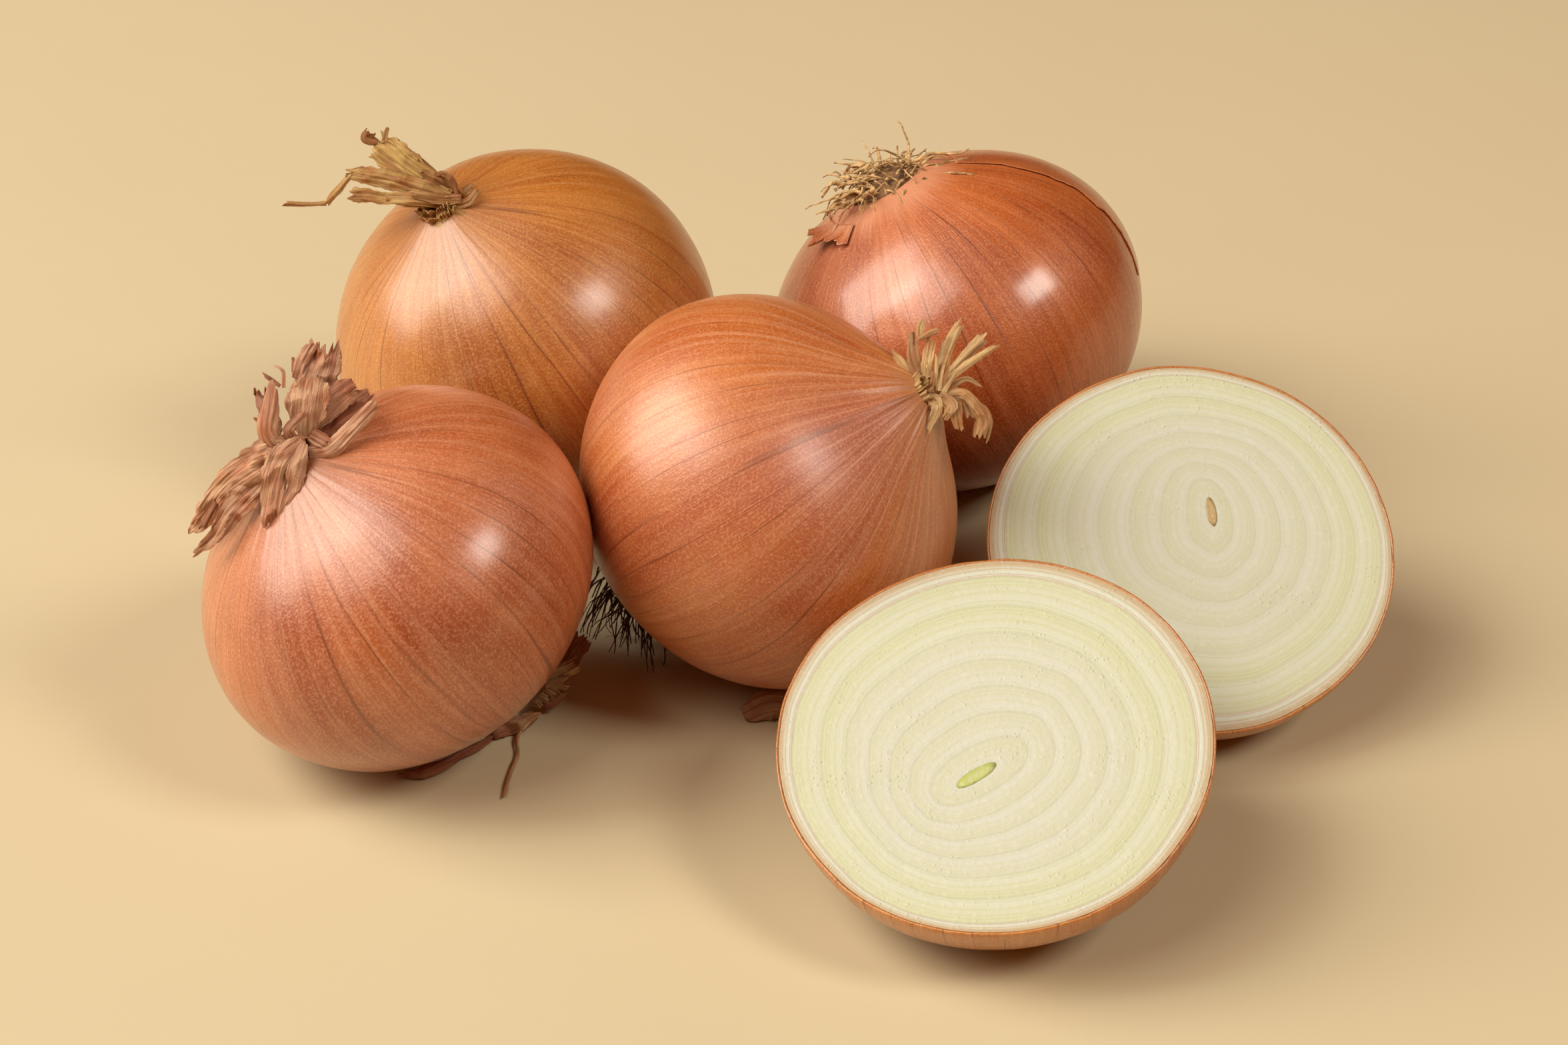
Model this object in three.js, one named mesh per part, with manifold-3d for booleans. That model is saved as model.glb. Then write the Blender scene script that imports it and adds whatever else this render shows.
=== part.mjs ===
// Four large brown onions, and one more cut in two across its middle, lying together on a table.
// Millimetres, +Z up, +X to the right and +Y to the back. The origin is under the middle of the group.
// An onion's own frame has +Z from its root plate to its neck, and its widest circle at z = 0.
import * as THREE from "three";
import { mergeVertices } from "three/addons/utils/BufferGeometryUtils.js";
import Module from "manifold-3d";

const wasm = await Module();
wasm.setup();

// ---- Driving dimensions ----

const GAP = 0.3; // between two pieces that touch
const CLEAR = 0.5; // how much a bulb is grown before it is cut out of what lies on it
const FOOT = 0.25; // how far the table flattens an onion where it rests
const SKIN = 0.5; // the dry skin round a half
const SCALES = 8; // fleshy scales in a half, from the skin in to the shoot
const AROUND = 36; // facets round a whole bulb
const HALF_AROUND = 24; // facets round a half and its scales

// equator: widest radius. crown and base: heights above and below it, before the neck and the plate stand out.
// lean: how far the neck tips from upright, in degrees. heading: the way it tips, in degrees from +X.
const ONIONS = {
  back_left: {
    equator: 45.3, crown: 41.5, base: 43, x: -60.9, y: 59.6, lean: 27, heading: 212,
    neck: { radius: 5, rise: 3, spread: 9 }, plate: { radius: 8, drop: 1.2, spread: 14 },
  },
  back_right: {
    equator: 45.8, crown: 39.7, base: 37, x: 41.1, y: 71.9, lean: 152, heading: -14,
    neck: { radius: 5, rise: 3, spread: 12 }, plate: { radius: 9.5, drop: 3, spread: 15 },
  },
  center: {
    equator: 44.6, crown: 37, base: 40, x: -2.5, y: -7.5, lean: 50, heading: -8,
    neck: { radius: 4.5, rise: 7, spread: 13 }, plate: { radius: 8.5, drop: 1.2, spread: 14 },
  },
  front_left: {
    equator: 43.9, crown: 34.5, base: 36.5, x: -82.5, y: -34.4, lean: 32, heading: 197,
    neck: { radius: 5, rise: 3.5, spread: 11 }, plate: { radius: 8, drop: 1.2, spread: 13 },
  },
};

// The cut face is at z = 0. depth: from the face to the pole. z: height of the face's middle.
// heart: where the shoot comes through the face, off its middle, because the scales aren't concentric.
const HALVES = {
  front_half: { radius: 44, depth: 31.6, x: 41.9, y: -85.6, lean: 21.4, heading: -107.4, heart: [9, -1.5] },
  back_half: { radius: 44, depth: 29.7, x: 88.4, y: -16.4, lean: 31.4, heading: -90, heart: [-8, 5] },
};
const OUTER_SCALE = 3; // thickness of the outermost scale, the thinnest one
const SHOOT = 2.4; // radius of the shoot at the cut

// A torn piece of outer skin still lying on the back right onion, over its right side near the root plate.
// Its outline is seen along the onion's axis, as distances out from the axis and directions round it.
const TORN = {
  outline: [[15, 163], [24, 170], [34, 169], [42, 172], [60, 174], [60, 120], [41, 116], [33, 112], [24, 106], [15, 112]],
  top: 7, // how far towards the neck it reaches, from the equator
  thick: 0.5,
};

// ---- Small helpers ----

const rad = THREE.MathUtils.degToRad;

// The direction that points to heading, degrees round from +X, and rise, degrees above level.
function towards(heading, rise) {
  const level = Math.cos(rad(rise));
  return new THREE.Vector3(level * Math.cos(rad(heading)), level * Math.sin(rad(heading)), Math.sin(rad(rise)));
}

// A closed geometry as a solid, with its shared vertices merged and its flat triangles left out.
function solidOf(geometry) {
  const bare = geometry.clone();
  bare.deleteAttribute("normal");
  bare.deleteAttribute("uv");
  const merged = mergeVertices(bare, 1e-4);
  const corners = Array.from(merged.index.array);
  const triangles = [];
  for (let i = 0; i < corners.length; i += 3) {
    const [a, b, c] = corners.slice(i, i + 3);
    if (a !== b && b !== c && c !== a) triangles.push(a, b, c);
  }
  const vertProperties = merged.attributes.position.array;
  return new wasm.Manifold(new wasm.Mesh({ numProp: 3, vertProperties, triVerts: new Uint32Array(triangles) }));
}

function geometryOf(solid) {
  const mesh = solid.getMesh();
  const geometry = new THREE.BufferGeometry();
  geometry.setAttribute("position", new THREE.BufferAttribute(mesh.vertProperties, 3));
  geometry.setIndex(new THREE.BufferAttribute(mesh.triVerts, 1));
  geometry.computeVertexNormals();
  return geometry;
}

// The largest body of a solid: a cut can leave a crumb beside the piece that is wanted.
function mainBody(solid) {
  return solid.decompose().reduce((best, body) => (body.volume() > best.volume() ? body : best));
}

function finish(color, roughness) {
  return new THREE.MeshStandardMaterial({ color, roughness, metalness: 0 });
}

const DRY_SKIN = finish(0xc47a44, 0.4);
const PAPER = finish(0xb08a58, 0.8);
const ROOT = finish(0x8a6f48, 0.9);
const FLESH = finish(0xe9e6cf, 0.35);
const SPROUT = finish(0xcdd27a, 0.4);

const onions = new THREE.Group();

function addMesh(name, geometry, material, parent = onions) {
  const mesh = new THREE.Mesh(geometry, material);
  mesh.name = name;
  parent.add(mesh);
  mesh.updateWorldMatrix(true, false);
  return mesh;
}

// A group turned so that its +Z leans by lean degrees towards heading.
function leaning({ x, y, lean, heading }) {
  const group = new THREE.Group();
  group.rotation.set(0, rad(lean), rad(heading), "ZYX");
  group.position.set(x, y, 0);
  onions.add(group);
  group.updateWorldMatrix(true, false);
  return group;
}

// The table under everything, in the frame of a group or mesh.
function tableIn(object) {
  const slab = new THREE.BoxGeometry(400, 400, 40).translate(0, 0, -20);
  return solidOf(slab.applyMatrix4(object.matrixWorld.clone().invert()));
}

// Sets a group down on the table, so that geometry, which is in its frame, sinks in by FOOT.
function setDown(group, geometry) {
  const placed = geometry.clone().applyMatrix4(group.matrixWorld);
  placed.computeBoundingBox();
  group.position.z = -placed.boundingBox.min.z - FOOT;
  group.updateWorldMatrix(true, false);
}

// A solid of one frame, as a solid of another.
function carried(geometry, from, to) {
  const matrix = to.matrixWorld.clone().invert().multiply(from.matrixWorld);
  return solidOf(geometry.clone().applyMatrix4(matrix));
}

// ---- Bulbs: flesh in its dry skin, one grown piece ----

// Half the outline of a bulb, from the middle of its root plate to the middle of its neck.
// A bell-shaped bump on the oval draws the shoulder up into the neck, and a lower one makes the root end.
function bulbOutline({ equator, crown, base, neck, plate }, grow = 0) {
  const rows = 9;
  const widest = equator + grow;
  const outline = [];
  const addRow = (latitude, height, bump) => {
    const r = widest * Math.cos(latitude);
    const side = Math.sign(latitude);
    const stands = bump.rise * Math.exp(-((r / bump.spread) ** 2));
    outline.push(new THREE.Vector2(r, (height + grow) * Math.sin(latitude) + side * stands));
  };
  const toPlate = Math.acos((plate.radius + grow) / widest);
  const toNeck = Math.acos((neck.radius + grow) / widest);
  for (let i = rows; i > 0; i--) {
    addRow(-toPlate * (1 - (1 - i / rows) ** 1.5), base, { rise: plate.drop, spread: plate.spread });
  }
  for (let i = 0; i <= rows; i++) {
    addRow(toNeck * (1 - (1 - i / rows) ** 2), crown, neck);
  }
  const bottom = outline[0].y;
  const top = outline.at(-1).y;
  return { outline: [new THREE.Vector2(0, bottom), ...outline, new THREE.Vector2(0, top)], bottom, top };
}

// An outline in (radius, height), turned about +Z.
function turned(outline, around) {
  return new THREE.LatheGeometry(outline, around).rotateX(Math.PI / 2);
}

// ---- Dry leaf strips and rootlets ----

// A thin bar from start, off to heading and rise. It turns by swing and bend degrees over its length,
// is narrow where it starts, wide from a third of the way on, and tip times its width at the end.
function strip({ start = [0, 0, 0], heading, rise, swing = 0, bend = 0, roll = 0, long, wide, thick = 0.9, tip = 0.6 }) {
  const steps = 5;
  const centre = new THREE.Vector3(...start);
  const rows = [];
  for (let i = 0; i <= steps; i++) {
    const t = i / steps;
    const along = towards(heading + swing * t, rise + bend * t);
    if (i > 0) centre.addScaledVector(along, long / steps);
    const level = rad(heading + swing * t + 90);
    const across = new THREE.Vector3(Math.cos(level), Math.sin(level), 0).applyAxisAngle(along, rad(roll));
    const narrowing = t < 0.35 ? 0.55 + (0.45 * t) / 0.35 : 1 - ((1 - tip) * (t - 0.35)) / 0.65;
    rows.push({ centre: centre.clone(), across, through: along.clone().cross(across), narrowing });
  }
  const bar = new THREE.BoxGeometry(wide, thick, long, 1, 1, steps).translate(0, 0, long / 2);
  const position = bar.getAttribute("position");
  for (let i = 0; i < position.count; i++) {
    const row = rows[Math.round((position.getZ(i) / long) * steps)];
    const point = row.centre.clone();
    point.addScaledVector(row.across, position.getX(i) * row.narrowing);
    point.addScaledVector(row.through, position.getY(i));
    position.setXYZ(i, point.x, point.y, point.z);
  }
  return solidOf(bar);
}

// A knob with strips growing out of it, at a point of the table frame, clear of the solids given.
function addTuft(name, at, knob, strips, material, keepOff) {
  const mesh = addMesh(name, new THREE.BufferGeometry(), material);
  mesh.position.copy(at);
  mesh.updateWorldMatrix(true, false);
  let tuft = solidOf(new THREE.SphereGeometry(knob, 12, 8));
  for (const leaf of strips) tuft = tuft.add(strip(leaf));
  for (const { geometry, frame } of keepOff) tuft = tuft.subtract(carried(geometry, frame, mesh));
  mesh.geometry = geometryOf(mainBody(tuft.subtract(tableIn(mesh))));
}

// Rootlets fanned evenly from one heading to another, with their rises and lengths taken in turn.
function rootFan(count, [from, to], rises, lengths, bend = -20) {
  return Array.from({ length: count }, (_, i) => ({
    heading: from + ((to - from) * i) / Math.max(1, count - 1),
    rise: rises[i % rises.length],
    bend,
    long: lengths[i % lengths.length],
    wide: 1.1,
    thick: 1.1,
    tip: 0.7,
  }));
}

const NECKS = {
  back_left: [
    { heading: 168, rise: 38, long: 21, wide: 5, tip: 1.4, roll: 70 },
    { heading: 175, rise: 18, long: 23, wide: 3.5, roll: 60 },
    { heading: 190, rise: 10, long: 22, wide: 3.4, roll: 50, tip: 1.1 },
    { start: [-20, 2, 6.5], heading: 190, rise: -55, bend: 50, long: 18, wide: 1.6 },
    { heading: 120, rise: 60, bend: -50, long: 8, wide: 1.2 },
  ],
  back_right: [
    { heading: 205, rise: 2, long: 15, wide: 6 },
    { heading: 255, rise: 2, long: 14, wide: 7 },
    { heading: -25, rise: 4, long: 12, wide: 5 },
  ],
  center: [
    { heading: 157, rise: 49, long: 9.5, wide: 2.2, roll: 60, tip: 0.3 },
    { heading: 117, rise: 61, long: 11.5, wide: 2.8, roll: 60 },
    { heading: 85, rise: 60, long: 10, wide: 2.8, roll: 50 },
    { heading: 40, rise: 52, long: 13, wide: 3.2, roll: 50 },
    { heading: 9, rise: 34, long: 15, wide: 2, roll: 40 },
    { heading: -15, rise: 25, bend: -105, long: 17, wide: 4.4, tip: 1 },
  ],
  front_left: [
    { heading: 65, rise: 68, long: 20, wide: 9, roll: 75, tip: 0.8 },
    { heading: 190, rise: 15, bend: 70, long: 16, wide: 6, tip: 0.5 },
    { heading: 156, rise: 32, long: 14, wide: 5, roll: 40 },
    { heading: 25, rise: 38, long: 14.5, wide: 5.5, roll: 40 },
    { heading: 0, rise: 5, bend: 55, long: 19, wide: 4.6 },
    { heading: 187, rise: -18, bend: -38, long: 33, wide: 8, tip: 0.45 },
    { heading: 203, rise: -15, bend: -45, long: 34, wide: 5, tip: 0.3 },
    { heading: 248, rise: -8, bend: -30, long: 20, wide: 6.4, tip: 0.7 },
  ],
};

const ROOTS = {
  back_left: rootFan(8, [0, 315], [-8, -14], [9, 12], -4),
  back_right: [
    ...rootFan(7, [-25, 40], [6, 18, 12], [16, 23, 13], -14),
    ...rootFan(6, [120, 290], [10, 35], [8, 10], -40),
  ],
  center: rootFan(11, [120, 300], [-20, -45, -32], [15, 20, 12], -12),
  front_left: rootFan(6, [-150, -84], [-8, -16], [12, 17], -6),
};

const ROOT_BUTTON = 3; // height of the root plate that stands out of the bulb

for (const [name, onion] of Object.entries(ONIONS)) {
  const group = leaning(onion);
  const { outline, bottom, top } = bulbOutline(onion);
  const whole = turned(outline, AROUND);
  setDown(group, whole);
  const bulb = solidOf(whole).subtract(tableIn(group));
  addMesh(name + "_bulb", geometryOf(bulb), DRY_SKIN, group);

  const grown = { geometry: turned(bulbOutline(onion, CLEAR).outline, AROUND), frame: group };
  const overTorn = { geometry: turned(bulbOutline(onion, GAP + TORN.thick + GAP).outline, AROUND), frame: group };
  const neckAt = group.localToWorld(new THREE.Vector3(0, 0, top + 1.5));
  addTuft(name + "_neck", neckAt, 4.5, NECKS[name], PAPER, [grown]);

  const rootAt = group.localToWorld(new THREE.Vector3(0, 0, bottom - 0.5 * ROOT_BUTTON));
  addTuft(name + "_roots", rootAt, onion.plate.radius * 0.75, ROOTS[name], ROOT, [overTorn]);
}

// ---- Halves: scales one inside another, cut across ----

// What stands under each half: the root end under one, the neck under the other.
const POLES = {
  front_half: { part: "roots", knob: 5.5, strips: rootFan(8, [0, 315], [0, 6], [9, 11], -6), material: ROOT },
  back_half: {
    part: "neck",
    knob: 5,
    strips: [
      { heading: 70, rise: -20, bend: 10, long: 13, wide: 6 },
      { heading: 110, rise: -10, long: 15, wide: 5 },
      { heading: 25, rise: -25, bend: 15, long: 11, wide: 5 },
      { heading: 170, rise: -25, bend: 15, long: 10, wide: 4 },
    ],
    material: PAPER,
  },
};

// Rings of the cut face, from the skin in: where each begins, its radius and its depth at the pole.
// Every ring is shifted a little further to the heart than the one round it.
function ringsOf({ radius, depth, heart }) {
  const rings = [];
  const room = radius - SKIN - GAP - SHOOT;
  for (let i = 0; i <= SCALES; i++) {
    const t = i / SCALES;
    const inward = i === 0 ? 0 : OUTER_SCALE + (room - OUTER_SCALE) * ((i - 1) / (SCALES - 1)) ** 0.92;
    const r = radius - SKIN - GAP - inward;
    const deep = (depth - SKIN - GAP) * (r / radius) ** 0.8 - 2.2 * t;
    rings.push({ r, deep, shift: heart.map((v) => v * t), rows: i < 3 ? 7 : 5 });
  }
  return rings;
}

// Half a bowl's outline, from its pole up to its rim at height 0.
function bowlOutline({ r, deep, rows }) {
  return Array.from({ length: rows + 1 }, (_, i) => {
    const angle = ((i / rows) * Math.PI) / 2;
    return new THREE.Vector2(i > 0 ? r * Math.sin(angle) : 0, i < rows ? -deep * Math.cos(angle) : 0);
  });
}

// A bowl whose outside is oval and whose inside is an oval with its own radius, depth and shift.
function cup(outside, inside, around) {
  const outer = bowlOutline(outside);
  const inner = bowlOutline(inside).reverse();
  const bowl = turned([...outer, ...inner], around);
  const position = bowl.getAttribute("position");
  for (let i = 0; i < position.count; i++) {
    const { shift } = i % (outer.length + inner.length) < outer.length ? outside : inside;
    position.setXY(i, position.getX(i) + shift[0], position.getY(i) + shift[1]);
  }
  return bowl;
}

for (const [name, half] of Object.entries(HALVES)) {
  const group = leaning(half);
  const outside = { r: half.radius, deep: half.depth, shift: [0, 0], rows: 7 };
  const lining = { ...outside, r: half.radius - SKIN, deep: half.depth - SKIN };
  const skin = cup(outside, lining, HALF_AROUND);
  setDown(group, skin);
  const table = tableIn(group);
  const rings = ringsOf(half);
  addMesh(name + "_skin", geometryOf(mainBody(solidOf(skin).subtract(table))), DRY_SKIN, group);
  for (let i = 0; i < SCALES; i++) {
    const next = rings[i + 1];
    const inside = { ...next, r: next.r + GAP, deep: next.deep + GAP };
    addMesh(`${name}_scale_${i + 1}`, cup(rings[i], inside, HALF_AROUND), FLESH, group);
  }
  const heart = rings.at(-1);
  const shoot = turned([...bowlOutline(heart), new THREE.Vector2(0, 0)], 16);
  addMesh(name + "_shoot", shoot.translate(...heart.shift, 0), SPROUT, group);

  const grown = { ...outside, r: half.radius + CLEAR, deep: half.depth + CLEAR };
  const keepOff = [{ geometry: turned([...bowlOutline(grown), new THREE.Vector2(0, 0)], HALF_AROUND), frame: group }];
  const { part, knob, strips, material } = POLES[name];
  addTuft(`${name}_${part}`, group.localToWorld(new THREE.Vector3(0, 0, -half.depth - 1)), knob, strips, material, keepOff);
}

// ---- Loose dry skin ----

const tornOn = onions.getObjectByName("back_right_bulb").parent;
const layer = (grow) => solidOf(turned(bulbOutline(ONIONS.back_right, grow).outline, AROUND));
const tear = new THREE.Shape(
  TORN.outline.map(([out, round]) => new THREE.Vector2(out * Math.cos(rad(round)), out * Math.sin(rad(round)))),
);
const cutter = new THREE.ExtrudeGeometry(tear, { depth: 60, bevelEnabled: false }).translate(0, 0, TORN.top - 60);
const torn = layer(GAP + TORN.thick).subtract(layer(GAP)).intersect(solidOf(cutter));
addMesh("back_right_torn_skin", geometryOf(mainBody(torn)), PAPER, tornOn);

// Flakes of dry skin on the table: one beside the front left onion's roots, one in front of the centre onion.
function addFlake(name, leaf, bulbNames) {
  const mesh = addMesh(name, new THREE.BufferGeometry(), PAPER);
  let flake = strip(leaf).subtract(tableIn(mesh));
  for (const bulb of bulbNames) {
    const frame = onions.getObjectByName(bulb + "_bulb").parent;
    const geometry = turned(bulbOutline(ONIONS[bulb], CLEAR).outline, AROUND);
    flake = flake.subtract(carried(geometry, frame, mesh));
  }
  mesh.geometry = geometryOf(mainBody(flake));
}

addFlake("front_left_loose_skin", {
  start: [-54, -48, 0.5], heading: 66, rise: 22, bend: -34, swing: -14, roll: -18, long: 34, wide: 13, tip: 0.5,
}, ["front_left", "center"]);
addFlake("loose_flake", {
  start: [-9, -36, 0.6], heading: 12, rise: 16, bend: -20, roll: 12, long: 15, wide: 9, tip: 0.45,
}, ["center"]);

// ---- The origin goes under the middle of the group ----

const bounds = new THREE.Box3().setFromObject(onions, true);
onions.position.set(-0.5 * (bounds.min.x + bounds.max.x), -0.5 * (bounds.min.y + bounds.max.y), 0);
const part = new THREE.Group();
part.add(onions);

export default part;
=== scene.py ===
"""Large brown onions on a table: four whole ones in their dry skins, and one cut in two across its rings.
Sizes are in millimetres in each section, and a finished mesh is brought to metres in the model's frame."""

from math import acos, asin, atan2, cos, exp, hypot, pi, radians, sin

import bmesh
import bpy
from mathutils import Matrix, Vector, noise


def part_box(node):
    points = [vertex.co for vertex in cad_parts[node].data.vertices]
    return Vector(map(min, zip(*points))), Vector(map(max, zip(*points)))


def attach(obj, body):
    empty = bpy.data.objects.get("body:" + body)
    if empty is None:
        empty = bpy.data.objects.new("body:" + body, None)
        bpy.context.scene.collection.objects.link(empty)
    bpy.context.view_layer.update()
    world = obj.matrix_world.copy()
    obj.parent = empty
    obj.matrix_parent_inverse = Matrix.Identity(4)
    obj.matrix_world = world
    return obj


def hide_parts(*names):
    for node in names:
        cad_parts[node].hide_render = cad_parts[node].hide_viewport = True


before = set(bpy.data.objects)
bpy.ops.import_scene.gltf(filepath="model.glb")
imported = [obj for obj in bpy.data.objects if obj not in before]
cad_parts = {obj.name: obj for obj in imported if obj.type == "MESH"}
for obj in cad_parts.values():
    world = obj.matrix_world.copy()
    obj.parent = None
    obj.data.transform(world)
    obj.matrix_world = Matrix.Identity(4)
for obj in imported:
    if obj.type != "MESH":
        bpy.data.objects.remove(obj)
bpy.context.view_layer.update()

MM = 0.001

# ---- Camera ----
# A 72 mm lens on a full-frame body, about 70 cm from the middle of the group, looking down 33 degrees.

camera = bpy.data.objects.new("camera", bpy.data.cameras.new("camera"))
camera.data.sensor_width = 36
camera.data.lens = 71.6
camera.location = (-0.0027, -0.5775, 0.4071)
camera.rotation_euler = (radians(90 - 33), 0, 0)
bpy.context.collection.objects.link(camera)
bpy.context.scene.camera = camera
bpy.context.scene.view_settings.view_transform = "Standard"


# ---- Table ----
# A smooth painted board, larger than the view, in warm cream. It is matt, with a very faint unevenness
# from the roller, so the shadows on it stay soft.


def linear(hex_colour):
    """An sRGB hex colour as the linear values that shaders take."""
    parts = [int(hex_colour[i : i + 2], 16) / 255 for i in (1, 3, 5)]
    return (*(c / 12.92 if c <= 0.04045 else ((c + 0.055) / 1.055) ** 2.4 for c in parts), 1.0)


def add_node(tree, kind, sockets, **settings):
    """Adds a shader node. Each entry of sockets is linked if it is a socket, and set if it is a value."""
    node = tree.nodes.new("ShaderNode" + kind)
    for name, value in settings.items():
        setattr(node, name, value)
    for key, value in sockets.items():
        if isinstance(value, bpy.types.NodeSocket):
            tree.links.new(value, node.inputs[key])
        else:
            node.inputs[key].default_value = value
    return node


def new_material(name, **shader_values):
    """A material with its tree and its Principled shader, whose constant values are set on its sockets."""
    material = bpy.data.materials.new(name)
    material.use_nodes = True
    shader = material.node_tree.nodes["Principled BSDF"]
    for socket, value in shader_values.items():
        shader.inputs[socket.replace("_", " ")].default_value = value
    return material, material.node_tree, shader


paint, tree, shader = new_material("matt_cream_paint", Roughness=0.62, Specular_IOR_Level=0.3)
place = add_node(tree, "TexCoord", {}).outputs["Object"]
mottle = add_node(tree, "TexNoise", {"Vector": place, "Scale": 9.0, "Detail": 4.0}).outputs["Fac"]
grain = add_node(tree, "TexNoise", {"Vector": place, "Scale": 900.0, "Detail": 2.0}).outputs["Fac"]
shade = add_node(
    tree, "Mix", {0: mottle, 6: linear("#c8ba96"), 7: linear("#ccbf9c")}, data_type="RGBA"
).outputs[2]
bump = add_node(tree, "Bump", {"Height": grain, "Strength": 0.06, "Distance": 0.0002})
tree.links.new(shade, shader.inputs["Base Color"])
tree.links.new(bump.outputs["Normal"], shader.inputs["Normal"])

board = bmesh.new()
bmesh.ops.create_grid(board, x_segments=1, y_segments=1, size=3.0)
mesh = bpy.data.meshes.new("table")
board.to_mesh(mesh)
board.free()
table = bpy.data.objects.new("table", mesh)
table.location.z = -0.0004
mesh.materials.append(paint)
bpy.context.collection.objects.link(table)

# ---- Light ----
# A large soft box on the left, one more above the group, and a much smaller one on the right, which gives
# each skin its second bright spot. The room around them is dim and warm.


def soft_box(name, towards, distance, width, height, power, colour):
    """An area light at a distance from the group in one direction, aimed at it."""
    lamp = bpy.data.lights.new(name, "AREA")
    lamp.shape = "RECTANGLE"
    lamp.size, lamp.size_y = width, height
    lamp.energy = power
    lamp.color = linear(colour)[:3]
    box = bpy.data.objects.new(name, lamp)
    direction = Vector(towards).normalized()
    box.location = Vector((0, 0, 0.03)) + distance * direction
    box.rotation_euler = direction.to_track_quat("Z", "Y").to_euler()
    bpy.context.collection.objects.link(box)


soft_box("left_soft_box", (-0.8, 0.05, 0.6), 2.2, 1.3, 1.9, 50.0, "#fffaf0")
soft_box("top_soft_box", (-0.5, -0.28, 0.82), 2.6, 1.5, 1.5, 34.0, "#fff8ec")
soft_box("small_soft_box", (0.6, -0.3, 0.74), 2.2, 0.65, 0.65, 21.0, "#fff8ec")
room = bpy.data.worlds.new("room")
room.use_nodes = True
room.node_tree.nodes["Background"].inputs["Color"].default_value = linear("#ff7a1c")
room.node_tree.nodes["Background"].inputs["Strength"].default_value = 0.14
bpy.context.scene.world = room

# ---- Whole bulbs ----
# Each bulb is a fat, slightly squashed ball of fleshy scales in a thin glossy dry skin. Its skin is drawn
# up into pleats at the neck, and fine veins run in it from the root plate to the neck. It is flattened
# where it rests. Sizes follow the turned outline of its solid: a bell-shaped rise at the neck, and a low
# one at the root plate.

BULBS = {
    "back_left": dict(
        equator=45.3, crown=41.5, base=43.0, lean=27, heading=212, pleats=0.03,
        neck=(5.0, 3.0, 9.0), plate=(8.0, 1.2, 14.0), seed=3.1,
    ),
    "back_right": dict(
        equator=45.8, crown=39.7, base=37.0, lean=152, heading=-14, pleats=0.03,
        neck=(5.0, 3.0, 12.0), plate=(9.5, 3.0, 15.0), seed=11.7,
    ),
    "center": dict(
        equator=44.6, crown=37.0, base=40.0, lean=50, heading=-8, pleats=0.08,
        neck=(4.5, 7.0, 13.0), plate=(8.5, 1.2, 14.0), seed=23.9,
    ),
    "front_left": dict(
        equator=43.9, crown=34.5, base=36.5, lean=32, heading=197, pleats=0.04,
        neck=(5.0, 3.5, 11.0), plate=(8.0, 1.2, 13.0), seed=37.3,
    ),
}


def skin_height(bulb, latitude, lift=0.0):
    """Radius and height of a bulb's smooth outline at a latitude, in radians, lifted off it by lift."""
    r = (bulb["equator"] + lift) * cos(latitude)
    (_, rise, spread), height, side = (
        (bulb["neck"], bulb["crown"], 1) if latitude >= 0 else (bulb["plate"], bulb["base"], -1)
    )
    return r, (height + lift) * sin(latitude) + side * rise * exp(-((r / spread) ** 2))


def grown(bulb, radius, height, turn):
    """Where a point of the smooth outline really is: the bulb is a little lobed, and its skin is pleated at
    both ends."""
    seed = bulb["seed"]
    way = Vector((cos(turn), sin(turn), 0))
    lobes = noise.noise(2.1 * way + Vector((0, 0, seed + 0.012 * height)))
    ribs = noise.noise(7.0 * way + Vector((0, 0, seed + 5 + 0.01 * height)))
    folds = noise.noise(9.0 * way + Vector((0, 0, seed + 9)))
    folds += 0.6 * noise.noise(21.0 * way + Vector((0, 0, seed + 2)))
    near_end = exp(-(((radius - 4) / 13) ** 2)) if height > 0 else 0.5 * exp(-(((radius - 7) / 8) ** 2))
    out = radius * (1 + 0.011 * lobes + 0.0022 * ribs + bulb["pleats"] * near_end * folds)
    spot = Vector((radius * cos(turn), radius * sin(turn), height))
    dent = 0.5 * noise.noise(spot * 0.035 + Vector((seed, 0, 0)))
    return Vector((out * cos(turn), out * sin(turn), height + dent * (1 if height > 0 else 0.6)))


def turned(outline, around):
    """A closed shell: an outline of (radius, height) points from axis to axis, spun about +Z."""
    shell = bmesh.new()
    points = [shell.verts.new((r, 0, z)) for r, z in outline]
    for a, b in zip(points, points[1:]):
        shell.edges.new((a, b))
    bmesh.ops.spin(
        shell, geom=shell.verts[:] + shell.edges[:], cent=(0, 0, 0), axis=(0, 0, 1),
        angle=2 * pi, steps=around, use_merge=True,
    )
    bmesh.ops.remove_doubles(shell, verts=shell.verts, dist=1e-5)
    bmesh.ops.recalc_face_normals(shell, faces=shell.faces)
    return shell


def add_piece(name, mesh_code, materials, nodes, smooth=True):
    """Makes an object of a bmesh that is in millimetres in the model's frame, and gives it to the frame."""
    bmesh.ops.scale(mesh_code, vec=(MM, MM, MM), verts=mesh_code.verts)
    mesh = bpy.data.meshes.new(name)
    mesh_code.to_mesh(mesh)
    mesh_code.free()
    for material in materials:
        mesh.materials.append(material)
    for face in mesh.polygons:
        face.use_smooth = smooth
    piece = bpy.data.objects.new(name, mesh)
    bpy.context.collection.objects.link(piece)
    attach(piece, "root")
    if nodes:
        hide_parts(*nodes)
    return piece


VEINS = 46.0  # Round a bulb, so about 6 mm apart.


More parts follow.
